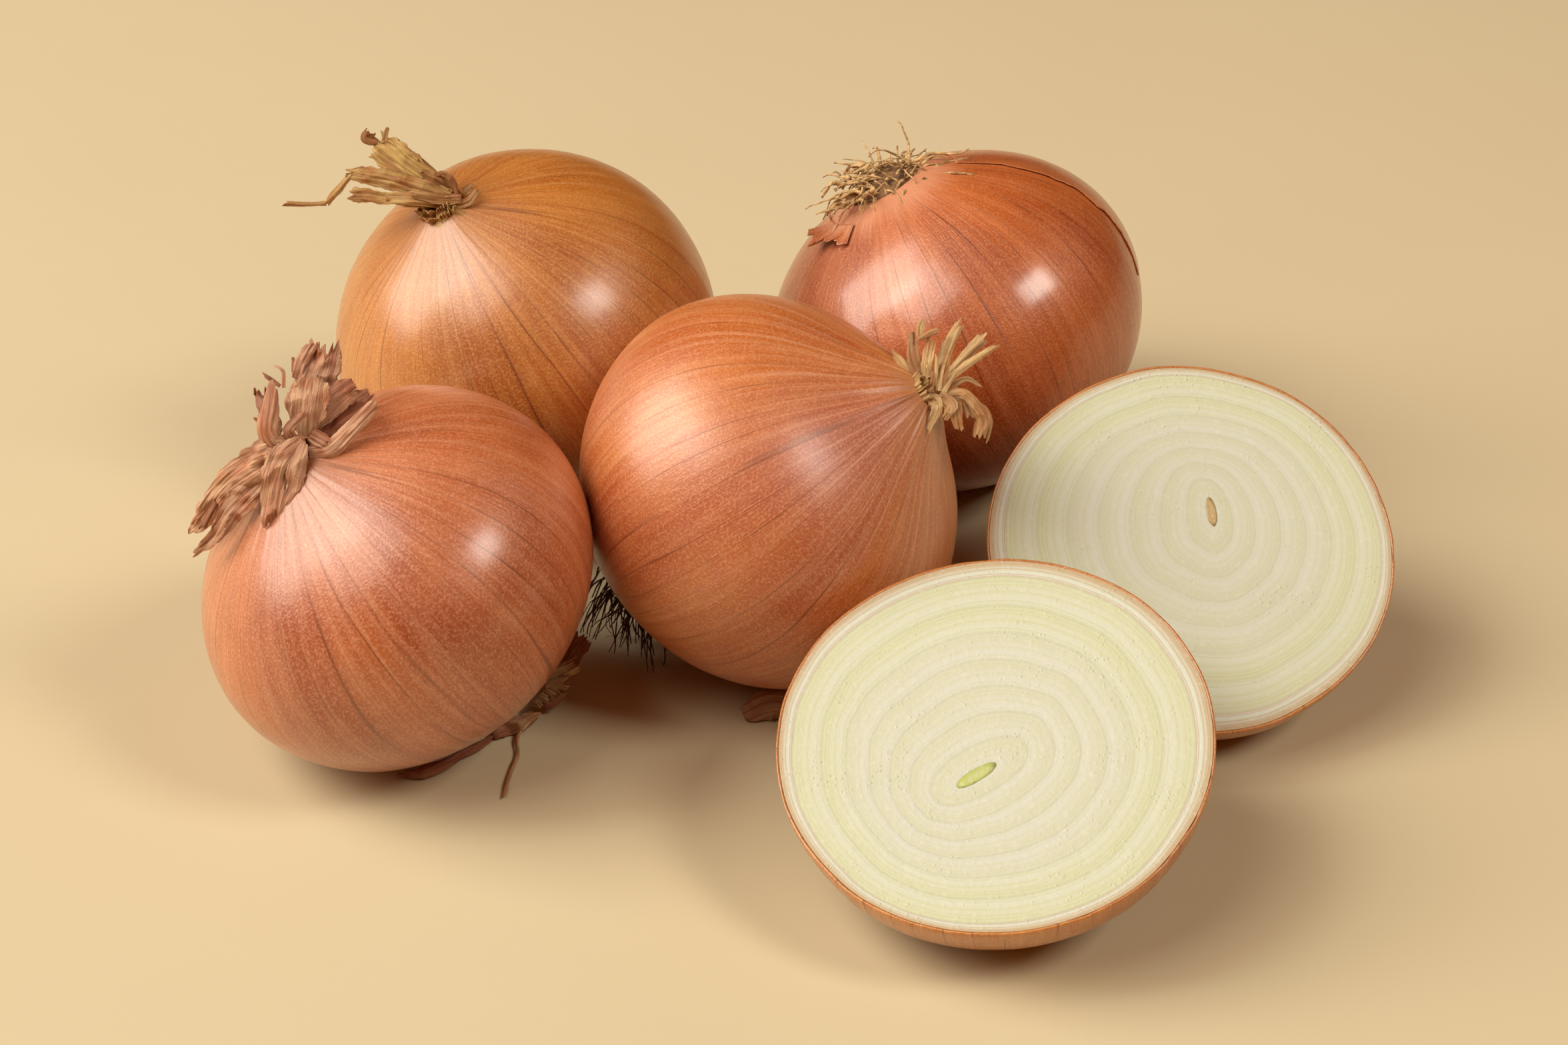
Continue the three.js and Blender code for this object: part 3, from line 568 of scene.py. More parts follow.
# Blades, as they are seen from the front: their ways from the neck (right, up, nearer), their widths, and
# their tone from 0, pale, to 1, dark. Some have their own cup, crumple or teeth.
BLADES = {
    "back_left": [
        ([(0, 0.9, 0), (-4.7, 5.1, 0.5), (-9.3, 9.3, 0.5), (-12.1, 12.3, 0.3)], [2.6, 3, 2.2, 1.2], 0.6),
        ([(-0.5, 0.9, 1), (-7.4, 5.1, 1.5), (-11.2, 7.9, 1.5), (-14.9, 10.7, 1)],
         [2.3, 6, 7, 5.4], 0.1, dict(crumple=0.35)),
        ([(-15, 11.2, 1), (-17.2, 12.3, 1.3), (-16.3, 13.5, 1.8)], [1.5, 3, 2.6], 1, dict(cup=130)),
        ([(-13.9, 11.2, 1), (-13.3, 13.5, 1), (-12.7, 14.7, 1)], [1.1, 1, 0.4], 0),
        ([(-13.5, 11.4, 1), (-14.2, 13.7, 1)], [0.8, 0.3], 0),
        ([(-0.5, 0.2, 1.8), (-7, 2.3, 2.4), (-13, 4, 2), (-17.7, 4.9, 1.4), (-21.2, 5.3, 1)],
         [2.3, 4, 4, 3.4, 1.5], 0.4, dict(teeth=1.6)),
        ([(-20.2, 5.1, 1), (-22.8, 2.3, 0.6), (-25.3, -0.7, 0.4)], [1, 1.6, 1.2], 0.2, dict(cup=90)),
        ([(-25.3, -0.6, 0.4), (-29.3, -0.8, 0.3), (-33, -0.7, 0.5)], [1, 0.9, 1.1], 0.3, dict(cup=90)),
        ([(0, -0.9, 2), (-6.5, 0, 3), (-13, 0.2, 2.6), (-16.7, 0.7, 2.2), (-20, 0.9, 2)],
         [2.4, 3, 2.4, 2.6, 3], 0.4),
        ([(-4.6, -1, 2.6), (-9.3, -0.9, 2.6), (-13, 0, 2.4)], [1, 1.4, 0.6], 0),
        ([(1.8, 0, 3), (-2.8, 0, 3.6), (-8.4, 0.9, 3.4)], [2, 2.4, 1.2], 0.8),
        ([(0, 1.9, 1), (-4.7, 4.4, 2), (-6.5, 5.2, 2)], [3, 2.4, 1.2], 0.8),
        ([(-7.4, 6.3, 1), (-8.1, 7.4, 1.2), (-6.3, 8, 1.4)], [0.5, 0.45, 0.5], 1),
        ([(0.9, 0.5, 2.2), (0, 3.7, 2.6), (-1.9, 5.1, 2.4), (-3.5, 4.7, 2)],
         [1, 1.1, 1, 0.9], 1, dict(cup=90)),
        ([(0.9, -1.4, 2.6), (3.3, -0.5, 2.8), (4.7, 1.4, 2.2)], [1.6, 1.8, 1], 0.7),
        ([(0, -1.9, 3), (2.3, -3.7, 3), (3.3, -4.2, 2.8)], [1.6, 1.8, 1], 0.5),
        ([(-1.9, -2.3, 3), (-2.1, -5.6, 3.4), (-1.6, -7.4, 3.6)], [2.2, 2, 1.2], 0.3),
        ([(2.3, 1.4, 1.5), (3.7, 2.8, 1)], [1.8, 1.4], 0.9),
    ],
    "back_right": [
        ([(0, 0, 0), (-6, -3.5, 5), (-12, -4, 6)], [3, 5, 4], 0.3, dict(crumple=0.3)),
        ([(0, 0, 0), (2, -4, 6), (5, -7, 11)], [3, 5, 4], 0.3, dict(crumple=0.3)),
        ([(0, 0, 0), (7, -1, 1.5), (12, -2, 3)], [3, 4, 3], 0.3, dict(crumple=0.3)),
    ],
    "center": [
        ([(-1.3, 1.3, 1), (-4.2, 4.8, 0.6), (-6.7, 7.9, 0)], [2.2, 2.4, 0.6], 0.3, dict(crumple=0.2)),
        ([(-0.6, 1.3, 1.5), (-2.6, 6.4, 1.2), (-2.9, 11.5, 0.6)], [1.6, 2.5, 0.9], 0.8, dict(crumple=0.2)),
        ([(-1.3, 9.9, 1.4), (-1.4, 12.2, 1.4), (-0.7, 13.8, 1.2)], [1, 1.5, 1.1], 0.3, dict(crumple=0.2)),
        ([(-1.8, 9.9, 2), (0.2, 11.1, 2.2), (2.1, 11.7, 1.8)], [0.8, 1.4, 1.1], 0.6, dict(cup=120)),
        ([(-0.3, 1.6, 2), (-0.2, 5.4, 2), (0.6, 9.6, 1.6)],
         [1.4, 2.2, 1.7], 0.05, dict(teeth=1.6, crumple=0.25)),
        ([(1, 1.3, 0.6), (2.6, 5.4, 0.6), (4.2, 9.6, 0.2), (6.3, 13.5, -0.3)],
         [1.4, 2.5, 2.2, 1.7], 0.3, dict(crumple=0.3)),
        ([(2.6, 1.6, 0.8), (6.1, 6.1, 0.6), (10.1, 10.1, 0)],
         [1.2, 1.5, 2.4], 0.4, dict(teeth=1.8, crumple=0.3)),
        ([(2.6, 1.3, 1.6), (7.1, 5.1, 1.8), (13.1, 9, 1.4)], [1, 1.5, 0.9], 0.1, dict(crumple=0.2)),
        ([(1.4, 0.3, 2.6), (1.6, 7.5, 2.6)], [1.3, 0.3], 0, dict(crumple=0.15)),
        ([(2.9, 0.6, 2.6), (4.1, 6.2, 2.6)], [1.1, 0.3], 0, dict(crumple=0.15)),
        ([(0.3, 0.3, 2.8), (-0.3, 4.8, 2.8)], [1.1, 0.6], 0.1, dict(crumple=0.15)),
        ([(1.9, 0.3, 3), (2.9, 5.1, 3)], [1, 0.5], 0, dict(crumple=0.15)),
        ([(2.9, 0, 3), (4.7, 2.9, 3)], [1, 0.5], 0.2, dict(crumple=0.15)),
        ([(0.6, 0, 3.2), (1, 4.2, 3.2)], [0.9, 0.5], 0.05, dict(crumple=0.15)),
        ([(4.5, 1.3, 1), (7.1, 2.6, 1), (9.6, 1.7, 0.8)], [1.1, 1, 0.6], 0.5, dict(crumple=0.2)),
        ([(3.5, -1.3, 2), (7.1, -1.6, 2.6), (8.3, -4.5, 2.8)], [2.6, 3, 2.4], 0.9),
        ([(2.9, -0.6, 2.6), (6.4, -0.3, 3), (9, -2.6, 3.4), (10.5, -5.1, 3.4), (9.9, -8.5, 3.2)],
         [2.4, 2.6, 2.6, 4, 3.6], 0.6, dict(cup=120)),
        ([(0, -0.3, 3), (1.6, -2.6, 3.8), (0.1, -6.7, 4)], [2.2, 2.2, 0.8], 0.3),
        ([(1.9, -0.6, 3), (4.2, -2.6, 3.8), (3, -5.1, 4)], [2.4, 2.6, 1], 0.5),
        ([(5.1, -1.9, 3), (5.4, -5.1, 3.4), (5.8, -7, 3.4)], [2.4, 2.2, 1.4], 0.6),
    ],
    "front_left": [
        ([(0.2, 1.8, 0), (1.1, 9.5, 0.5), (2.5, 14, 0.3), (3.2, 17.6, -0.5)],
         [4.5, 6.8, 7.7, 6.8], 0.5, dict(teeth=3, crumple=1)),
        ([(-2, 11.7, 0.5), (-1.1, 14.9, 0.3), (0.7, 18, 0)], [1.6, 2.2, 2.4], 0.4, dict(teeth=2.5)),
        ([(-2.5, 13, 0), (-2.7, 15.8, 0)], [0.9, 0.5], 0.6),
        ([(-5.5, 2.5, 0), (-7.8, 6.2, 0), (-8.6, 9.6, -0.5)],
         [2, 3.2, 3], 0.8, dict(teeth=2.5, crumple=0.8)),
        ([(-5, 1.5, 0), (-7.4, 3, -0.3), (-9.4, 4.4, -0.5)], [2, 1.8, 1.2], 0.5, dict(teeth=2)),
        ([(-5, 10.3, 0.5), (-6.7, 11.5, 0.5), (-8, 12.4, 0.4)], [0.7, 0.8, 0.6], 0.9),
        ([(-4.3, 10, 1), (-4.4, 13, 1), (-5.6, 14, 1)], [0.6, 0.6, 0.4], 0.3),
        ([(1.6, 0.9, 0.8), (5.2, 4.5, 0.6), (9.7, 7.7, 0.2), (11.5, 9, 0)],
         [2, 4.2, 4, 2], 1, dict(crumple=0.8)),
        ([(0.7, 2.5, 1.5), (3.8, 5.9, 1.8), (7, 9, 1.2), (9, 10.2, 0.6)],
         [2.5, 4.6, 5, 3.5], 0.55, dict(crumple=0.6)),
        ([(0, 0.9, 2), (0.2, 5, 3.2), (0.7, 8.6, 3.6), (1.1, 11.3, 3.4)],
         [2.7, 6.8, 8.1, 6.6], 0.1, dict(crumple=0.5)),
        ([(-0.7, -0.7, 2), (-4.7, -0.9, 4), (-6.6, 1.8, 5), (-6.3, 6.3, 4.6), (-5.9, 11.3, 3.5)],
         [2.5, 4.2, 4.6, 4, 1], 0.1, dict(cup=110, crumple=0.3)),
        ([(-1.6, -0.5, 3.5), (-2.8, 2, 4.5), (-0.5, 4.6, 4.6), (0.1, 5.6, 4.2)],
         [2, 2.2, 1.6, 0.8], 0.7, dict(cup=90)),
        ([(1.1, 1.3, 3), (3.4, 0, 3.6), (4.9, -0.9, 3.8)], [2.6, 2.8, 2], 0.7),
        ([(0.7, -2.2, 3), (4.7, -1.6, 4), (8.3, 1.8, 4), (13.3, 7.4, 3)],
         [2.4, 3.4, 3.4, 2.2], 0.15, dict(cup=80)),
        ([(-4.7, -4.5, 3), (-9.7, -9, 3), (-13.7, -13, 2), (-17.3, -17.6, 0), (-21.4, -20.7, -3)],
         [3.5, 5.5, 4.6, 3, 1], 0.35, dict(crumple=0.9, teeth=1.5)),
        ([(0, 0, 3), (-4.7, -2, 4.5), (-9.2, -4.5, 4), (-15, -8.6, 1), (-19.6, -13.5, -4),
          (-23.2, -17.1, -8)],
         [3, 6.5, 7.5, 5.5, 4.5, 1.5], 0, dict(crumple=0.9, teeth=2)),
        ([(-17.3, -11.3, -1), (-20.5, -16.2, -4)], [1.2, 1.7], 1, dict(cup=140)),
        ([(-5.2, -2.7, 5), (-6.5, -7.2, 4.8)], [3, 2.6], 0.9, dict(crumple=0.8)),
        ([(0, -0.2, 4), (-3.4, -3.6, 5.6), (-5, -8.6, 5.8), (-5.9, -15.3, 5)],
         [3, 6.5, 5.4, 3.4], 0.25, dict(crumple=0.8)),
        ([(0.1, -0.5, 4.4), (-1.1, -5, 6), (-1.8, -9, 5.8), (-3.8, -13, 5.2)],
         [1.4, 3.6, 2.8, 2], 0.5, dict(crumple=0.6)),
    ],
}
# Where the blades of each neck spring from, off the middle of the collar, and how large they all are.
NECK_SEATS = {
    "back_left": ((2.8, 1.8, 0), 1.14), "back_right": ((0, 0, 0), 1), "center": ((0.3, -0.4, 0), 1.12),
    "front_left": ((3.6, 4.2, 0), 1.1),
}

NECK_PAPER = {
    "back_left": papery_leaf("straw_green_dead_leaf", pale="#d0b068", mid="#c08a48", dark="#7c431a"),
    "back_right": papery_leaf("red_brown_dead_leaf", pale="#a3603f", mid="#8a4a2f", dark="#5f2d1c"),
    "center": papery_leaf("straw_dead_leaf", pale="#e2c488", mid="#d09c5c", dark="#8a4a24"),
    "front_left": papery_leaf("rosy_dead_leaf", pale="#e0b48c", mid="#ca8860", dark="#7c3c1c"),
}

for name, bulb in BULBS.items():
    point = bulb["place"] @ Vector((0, 0, bulb["top"] - 1.5))
    tuft = bmesh.new()
    collar(tuft, bulb, bulb["neck"][0] - 0.6, 3.2, 0.6, 0.3, point)
    collar(tuft, bulb, bulb["neck"][0] - 2.0, 4.2, 0.6, 0.35, point)
    shift, size = NECK_SEATS[name]
    seat = point + 1.5 * (bulb["turn"] @ Vector((0, 0, 1))) + seen(*shift)
    for way, widths, tone, *own in BLADES[name]:
        way = [seat + size * seen(*place) for place in way]
        paper_blade(tuft, way, [size * width for width in widths], tone=tone, **(own[0] if own else {}))
    keep_above(tuft, 0.15)
    neck = add_piece(
        name + "_dry_neck", tuft, [NECK_PAPER[name]], [name + "_neck"], smooth=False
    )
    thin_sheet(neck, 0.22)

# ---- Root plates and roots ----
# The plate is a corky disc at the bottom of each bulb, with old soil in it. Wiry dead roots, under a
# millimetre thick, spring from all of it and are bent over where the onion was rolled.


def corky_root(name, pale, dark):
    """Dead root and its corky plate: dry, rough and dull, tan where rubbed and dark with soil in the
    hollows."""
    material, tree, shader = new_material(name, Roughness=0.85, IOR=1.4)
    spot = add_node(tree, "TexCoord", {}).outputs["Object"]
    crumbs = add_node(
        tree, "TexNoise", {"Vector": spot, "Scale": 420.0, "Detail": 5.0, "Roughness": 0.7}
    ).outputs["Fac"]
    mask = add_node(tree, "MapRange", {"Value": crumbs, "From Min": 0.38, "From Max": 0.6}).outputs[0]
    colour = add_node(tree, "Mix", {0: mask, 6: linear(dark), 7: linear(pale)}, data_type="RGBA").outputs[2]
    tree.links.new(colour, shader.inputs["Base Color"])
    bump = add_node(tree, "Bump", {"Height": crumbs, "Strength": 0.8, "Distance": 0.0005})
    tree.links.new(bump.outputs["Normal"], shader.inputs["Normal"])
    return material


def add_root(tuft, start, heading, rise, long, thick, bend=-30, swing=0, wander=1.0):
    """One root: a long cone cut into lengths and bent along its way."""
    before = len(tuft.verts)
    made = bmesh.ops.create_cone(
        tuft, cap_ends=True, segments=5, radius1=0.5 * thick, radius2=0.2 * thick, depth=1.0
    )["verts"]
    long_edges = {e for v in made for e in v.link_edges if abs(e.verts[0].co.z - e.verts[1].co.z) > 0.5}
    bmesh.ops.subdivide_edges(tuft, edges=list(long_edges), cuts=11)
    tuft.verts.ensure_lookup_table()
    made = tuft.verts[before:]
    seed = 3.1 * heading + 0.7 * long + rise
    centre, spine = Vector(start), []
    for i in range(13):
        t = i / 12
        sway = 45 * wander * noise.noise(Vector((2.6 * t, seed, 0)))
        nod = 45 * wander * noise.noise(Vector((2.6 * t, seed, 7)))
        along = towards(heading + swing * t + sway, rise + bend * t + nod)
        if i:
            centre = centre + along * (long / 12)
        across = along.orthogonal().normalized()
        spine.append((centre, across, along.cross(across)))
    for vert in made:
        middle, across, out = spine[round((vert.co.z + 0.5) * 12)]
        vert.co = middle + across * vert.co.x + out * vert.co.y


def root_plate(tuft, bulb, radius, height, point):
    """The corky disc: a spun dome, lumpy and crumbling, seen between the roots."""
    dome = [(radius * sin(a), -height * cos(a)) for a in (0.5 * pi * i / 12 for i in range(13))]
    disc = turned([*dome, (0, 0)], 72)
    for vert in disc.verts:
        lump = noise.noise(vert.co * 0.5 + Vector((bulb["seed"], 0, 0)))
        crumb = noise.noise(vert.co * 1.4 + Vector((0, bulb["seed"], 0)))
        outwards = vert.co.normalized()
        vert.co += Vector((0, 0, 1)) * (0.9 * lump + 0.5 * crumb) + outwards * (0.6 * lump + 0.5 * crumb)
        vert.co = bulb["turn"] @ vert.co + point
    spare = bpy.data.meshes.new("spare")
    disc.to_mesh(spare)
    disc.free()
    tuft.from_mesh(spare)
    bpy.data.meshes.remove(spare)


# How the roots of each onion lie: how many, between which headings, how steep, how long, how bent and how
# thick.
ROOT_FANS = {
    "back_left": [(26, 0, 360, -12, 9, -10, 0.8)],
    "back_right": [
        (16, -14, 12, 12, 18, -14, 0.85), (8, 10, 60, 18, 13, -30, 0.7), (60, 0, 360, 32, 14, -80, 0.6),
        (20, 165, 225, 0, 7, -60, 1.3), (16, 205, 262, -24, 10, -60, 0.8), (30, 225, 330, -14, 5.0, -40, 1.2),
        (14, 60, 160, 10, 8, -60, 0.9),
    ],
    "center": [(44, 120, 240, -30, 17, -36, 0.55), (40, 220, 310, -34, 18, -40, 0.55)],
    "front_left": [(22, -160, -60, -10, 12, -10, 0.8)],
}
CORK = {
    "back_left": corky_root("tan_dead_root", pale="#a08055", dark="#4f3a24"),
    "back_right": corky_root("wiry_tan_dead_root", pale="#e0bc84", dark="#86602f"),
    # The centre onion's roots lie in the shade under it, and their colours are darkened past the dead root's
    # own brown to stand for that shade: painted shade.
    "center": corky_root("dark_dead_root_with_painted_shade", pale="#5c3826", dark="#2c160c"),
    "front_left": corky_root("soiled_dead_root", pale="#8d6a44", dark="#43301f"),
}
SOILED_PLATE = corky_root("soil_speckled_root_plate", pale="#8a6540", dark="#3c2412")


def scatter(i, salt):
    """A number from 0 to 1 that is the same every time for the same i and salt."""
    return (sin(12.9898 * i + 78.233 * salt) * 43758.5453) % 1.0


for name, bulb in BULBS.items():
    radius = bulb["plate"][0]
    point = bulb["place"] @ Vector((0, 0, bulb["bottom"] + 0.8))
    tuft = bmesh.new()
    root_plate(tuft, bulb, radius * 1.02, 3.2, point)
    for face in tuft.faces:
        face.material_index = 1  # SOILED_PLATE
    for fan, (count, start, end, rise, long, bend, thick) in enumerate(ROOT_FANS[name]):
        for i in range(count):
            heading = start + (end - start) * (i + scatter(i, fan)) / count
            seat = radius * 0.9 * scatter(i, fan + 3) ** 0.5
            spin = 2 * pi * scatter(i, fan + 7)
            base = bulb["turn"] @ Vector((seat * cos(spin), seat * sin(spin), -1.6)) + point
            if long < 10:
                base = base + 0.5 * radius * towards(heading, 0)
            add_root(
                tuft, base, heading, rise + 24 * (scatter(i, fan + 11) - 0.5),
                long * (0.6 + 0.55 * scatter(i, fan + 13)), thick * (0.7 + 0.5 * scatter(i, fan + 17)),
                bend=bend * (0.4 + 1.2 * scatter(i, fan + 19)), wander=0.7 + 0.9 * scatter(i, fan + 23),
            )
    keep_above(tuft, 0.1)
    add_piece(name + "_root_tuft", tuft, [CORK[name], SOILED_PLATE], [name + "_roots"])

# ---- Torn outer skin of the back right onion ----
# One more layer of dry skin, split along a vein from near the root plate over the equator. It has lifted
# along the split, so its edge throws a thin shadow on the skin under it. A scrap has curled up near the
# root plate.

bulb = BULBS["back_right"]
HALF_WIDE, HALF_HIGH = 45.8, 38  # About what the bulb measures.


def over_skin(latitude, turn, lifted):
    """A point above the back right onion's skin, lifted off it by some millimetres."""
    radius, height = skin_height(bulb, latitude)
    flat = grown(bulb, radius, height, turn)
    outwards = Vector((flat.x / HALF_WIDE**2, flat.y / HALF_WIDE**2, flat.z / HALF_HIGH**2)).normalized()
    return bulb["place"] @ (flat + lifted * outwards)


split = bmesh.new()
way = split.verts.layers.float_vector.new("along_skin")
for vert in bmesh.ops.create_grid(split, x_segments=44, y_segments=70, size=0.5)["verts"]:
    across, up = vert.co.x + 0.5, vert.co.y + 0.5
    latitude = radians(-68 + 78 * up)
    front = 166 + 9 * up + 2.2 * noise.noise(Vector((9 * up, 4, 0)))
    front += 0.8 * noise.noise(Vector((31 * up, 2, 0)))
    back = 112 + 6 * up + 4 * noise.noise(Vector((6 * up, 1, 0)))
    turn = radians(front + (back - front) * across)
    lifted = 0.16 + 0.24 * exp(-across / 0.1) * sin(pi * min(1, up * 1.1)) ** 0.5
    vert[way] = (cos(turn), sin(turn), latitude / pi + 0.5)
    vert.co = over_skin(latitude, turn, lifted)

# The ragged scrap, below the front left of the root plate.
aim = bulb["turn"].inverted() @ seen(-0.8, -1, 0)
for vert in bmesh.ops.create_grid(split, x_segments=40, y_segments=12, size=0.5)["verts"]:
    across, up = 2 * vert.co.x, vert.co.y + 0.5
    torn = noise.noise(Vector((3 * across, 8, 0))) + 0.5 * noise.noise(Vector((11 * across, 3, 0)))
    latitude = radians(-71 + (7 + 4 * torn) * up)
    turn = atan2(aim.y, aim.x) + radians(32 * across)
    curled = 0.6 + (2.4 + torn) * up**3 * (1 - across**4)
    vert[way] = (cos(turn), sin(turn), latitude / pi + 0.5)
    vert.co = over_skin(latitude, turn, curled)
mark_turns(split)
split_skin = add_piece(
    "back_right_split_skin", split, [SKINS["back_right"]], ["back_right_torn_skin"]
)
thin_sheet(split_skin, 0.14)

# ---- Loose dry skin on the table ----
# Crumpled pieces of outer skin that have come off: one beside the front left onion's root end, red brown
# outside and cream inside, and a small flake in front of the centre onion.

flap_paper = papery_leaf("crumpled_red_brown_skin", pale="#cdb480", mid="#b98a5c", dark="#7c3016")
flap = bmesh.new()
corner = Vector((-56.5, -28.7, 3.0))
for way, widths, tone, crumple in (
    ([(4, 6.8, -2.5), (6.3, 10.8, -4), (9, 14.9, -6)], [3, 6.5, 6.5], 0.9, 0.8),
    ([(2.3, 5.9, -1), (5, 7.2, 0), (8.6, 9, 0.5)], [2.5, 4, 3.4], 0, 0.5),
    ([(1.8, 4.5, 0), (6.3, 5, 1)], [1.6, 3], 0.05, 0.4),
    ([(0.9, 1.8, -1), (2.7, 0.4, -1), (5.4, 2.7, -1)], [2.5, 3, 1.5], 1, 0.5),
    ([(-9, -6.3, 5.7), (-5.9, -4.5, 5), (-2.7, -3.2, 4.4), (-0.2, -1.8, 2)], [1.5, 4, 4, 2.2], 0.8, 1.4),
    ([(-28.4, -13.7, 16.9), (-22.5, -13.5, 16.8), (-15.8, -10.4, 12), (-9, -6.4, 6)],
     [0.8, 3.4, 2.6, 1.4], 1, 0.5),
    ([(-0.5, -1.8, 1.9), (-3.8, -6.3, 5.8), (-3.4, -9.9, 10.8), (-4.5, -13.5, 16.4), (-5.2, -18, 23.2)],
     [0.8] * 5, 0.6, 0.1),
):
    paper_blade(flap, [corner + seen(*shift) for shift in way], widths, tone=tone, crumple=crumple, cup=90)
for i in range(9):
    foot = corner + seen(-1 + 0.5 * i, 0.8 + 0.45 * i, 0)
    tip = corner + seen(0.4 + 0.55 * i, 0.2 + 0.4 * i, 1.6)
    paper_blade(flap, [foot, tip], [1.1, 0.8], tone=0.1, cup=160, crumple=0.1)
keep_above(flap, 0.2)
crumpled = add_piece(
    "front_left_crumpled_skin", flap, [flap_paper], ["front_left_loose_skin"]
)
thin_sheet(crumpled, 0.25)

flake = bmesh.new()
low, high = (Vector(c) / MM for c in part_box("loose_flake"))
start = Vector((low.x + 1, (low.y + high.y) / 2, 1.0))
way = [start, start + Vector((6, 1, 2.5)), start + Vector((12, 1, 1))]
paper_blade(flake, way, [4, 8, 4], tone=0.8, cup=70, crumple=0.8)
keep_above(flake, 0.2)
thin_sheet(add_piece("skin_flake", flake, [flap_paper], ["loose_flake"]), 0.25)

# ---- The onion that was cut in two ----
# Each half is a nest of fleshy scales, which are the bases of leaves, cut across. They are thick in the
# middle of the bulb, thin at its outside, a little off centre, and wet on the cut. Round them is the dry
# skin.

HALVES = {
    "front_half": dict(
        radius=44.0, depth=31.6, lean=21.4, heading=-107.4, heart=(9.0, -1.5), seed=51.3,
        shoot=(1.8, 0.55, 138),
    ),
    "back_half": dict(
        radius=44.0, depth=29.7, lean=31.4, heading=-90.0, heart=(-8.0, 5.0), seed=67.9,
        shoot=(1.35, 0.42, 5),
    ),
}
SKIN, GAP, SCALES, OUTER_SCALE, SHOOT = 0.5, 0.3, 8, 3.0, 2.4


def wet_onion_flesh(name, milk, tissue, edge, brim=0.93):
    """Cut onion flesh: wet, crisp, half see-through cells. To the eye each scale is milky on its inner side
    and greener towards its outer side, with a thin clear skin between scales and tiny beads of juice."""
    material, tree, shader = new_material(
        name, Roughness=0.42, IOR=1.38, Subsurface_Weight=0.15, Subsurface_Scale=0.002,
        Coat_Weight=0.25, Coat_Roughness=0.22,
    )
    shader.inputs["Subsurface Radius"].default_value = (1.0, 0.85, 0.5)
    across = add_node(tree, "Attribute", {}, attribute_name="across_scale").outputs["Fac"]
    spot = add_node(tree, "TexCoord", {}).outputs["Object"]
    cloud = add_node(
        tree, "TexNoise", {"Vector": spot, "Scale": 110.0, "Detail": 5.0, "Roughness": 0.6}
    ).outputs["Fac"]
    wander = add_node(tree, "Math", {0: cloud, 1: 0.5}, operation="SUBTRACT").outputs[0]
    wander = add_node(tree, "Math", {0: wander, 1: 0.9, 2: across}, operation="MULTIPLY_ADD").outputs[0]
    depth = add_node(tree, "MapRange", {"Value": wander, "From Min": 0.1, "From Max": 0.95}).outputs[0]
    colour = add_node(
        tree, "Mix", {0: depth, 6: linear(milk), 7: linear(tissue)}, data_type="RGBA"
    ).outputs[2]
    lines = add_node(tree, "Math", {0: across, 1: 9.0}, operation="MULTIPLY").outputs[0]
    bands = add_node(
        tree, "TexNoise", {"W": lines, "Scale": 1.0, "Detail": 2.0}, noise_dimensions="1D"
    ).outputs[0]
    cells = add_node(tree, "TexNoise", {"Vector": spot, "Scale": 900.0, "Detail": 3.0}).outputs["Fac"]

    # The clear skin at a scale's outer side, fine rings in it, and pale cells.
    for value, low, high, most, tint in (
        (across, brim, 1.0, 0.6, edge), (bands, 0.5, 0.58, 0.45, edge), (cells, 0.56, 0.7, 0.2, "#e4e1d2"),
    ):
        limits = {"Value": value, "From Min": low, "From Max": high, "To Max": most}
        mask = add_node(tree, "MapRange", limits).outputs[0]
        colour = add_node(tree, "Mix", {0: mask, 6: colour, 7: linear(tint)}, data_type="RGBA").outputs[2]
    tree.links.new(colour, shader.inputs["Base Color"])

    # Beads of juice, up to half a millimetre across, in patches.
    beads = add_node(tree, "TexVoronoi", {"Vector": spot, "Scale": 800.0}).outputs["Distance"]
    bead = add_node(
        tree, "MapRange", {"Value": beads, "From Min": 0.1, "From Max": 0.3, "To Min": 1.0, "To Max": 0.0}
    ).outputs[0]
    patches = add_node(tree, "MapRange", {"Value": cloud, "From Min": 0.5, "From Max": 0.62}).outputs[0]
    bead = add_node(tree, "Math", {0: bead, 1: patches}, operation="MULTIPLY").outputs[0]
    wet = add_node(tree, "MapRange", {"Value": bead, "To Min": 0.45, "To Max": 0.1}).outputs[0]
    tree.links.new(wet, shader.inputs["Roughness"])
    height = add_node(tree, "Math", {0: cloud, 1: 1.5, 2: cells}, operation="MULTIPLY_ADD").outputs[0]
    height = add_node(tree, "Math", {0: bead, 1: 1.6, 2: height}, operation="MULTIPLY_ADD").outputs[0]
    bump = add_node(tree, "Bump", {"Height": height, "Strength": 0.4, "Distance": 0.0003})
    tree.links.new(bump.outputs["Normal"], shader.inputs["Normal"])
    return material


FLESH = {
    "rind": wet_onion_flesh(
        "wet_outermost_scale", milk="#cfd4c4", tissue="#cacfb6", edge="#b48650", brim=0.4
    ),
    "outer": wet_onion_flesh("wet_outer_scale", milk="#ced2be", tissue="#cacdac", edge="#bfc492"),
    "inner": wet_onion_flesh("wet_inner_scale", milk="#ced1c2", tissue="#c9ccb2", edge="#c4c7a4"),
    "shoot": wet_onion_flesh("wet_green_shoot", milk="#c4ca90", tissue="#b4be6c", edge="#aeb864"),
    "slit": wet_onion_flesh("dry_beige_shoot", milk="#c6b184", tissue="#b89c66", edge="#a48452"),
}
half_skin = dry_onion_skin(
    "satin_tan_onion_skin", pale="#dca468", warm="#c67c34", deep="#a45a18", vein="#80461e",
    neck_tint="#c98a58", root_tint="#9a6a3c",
)


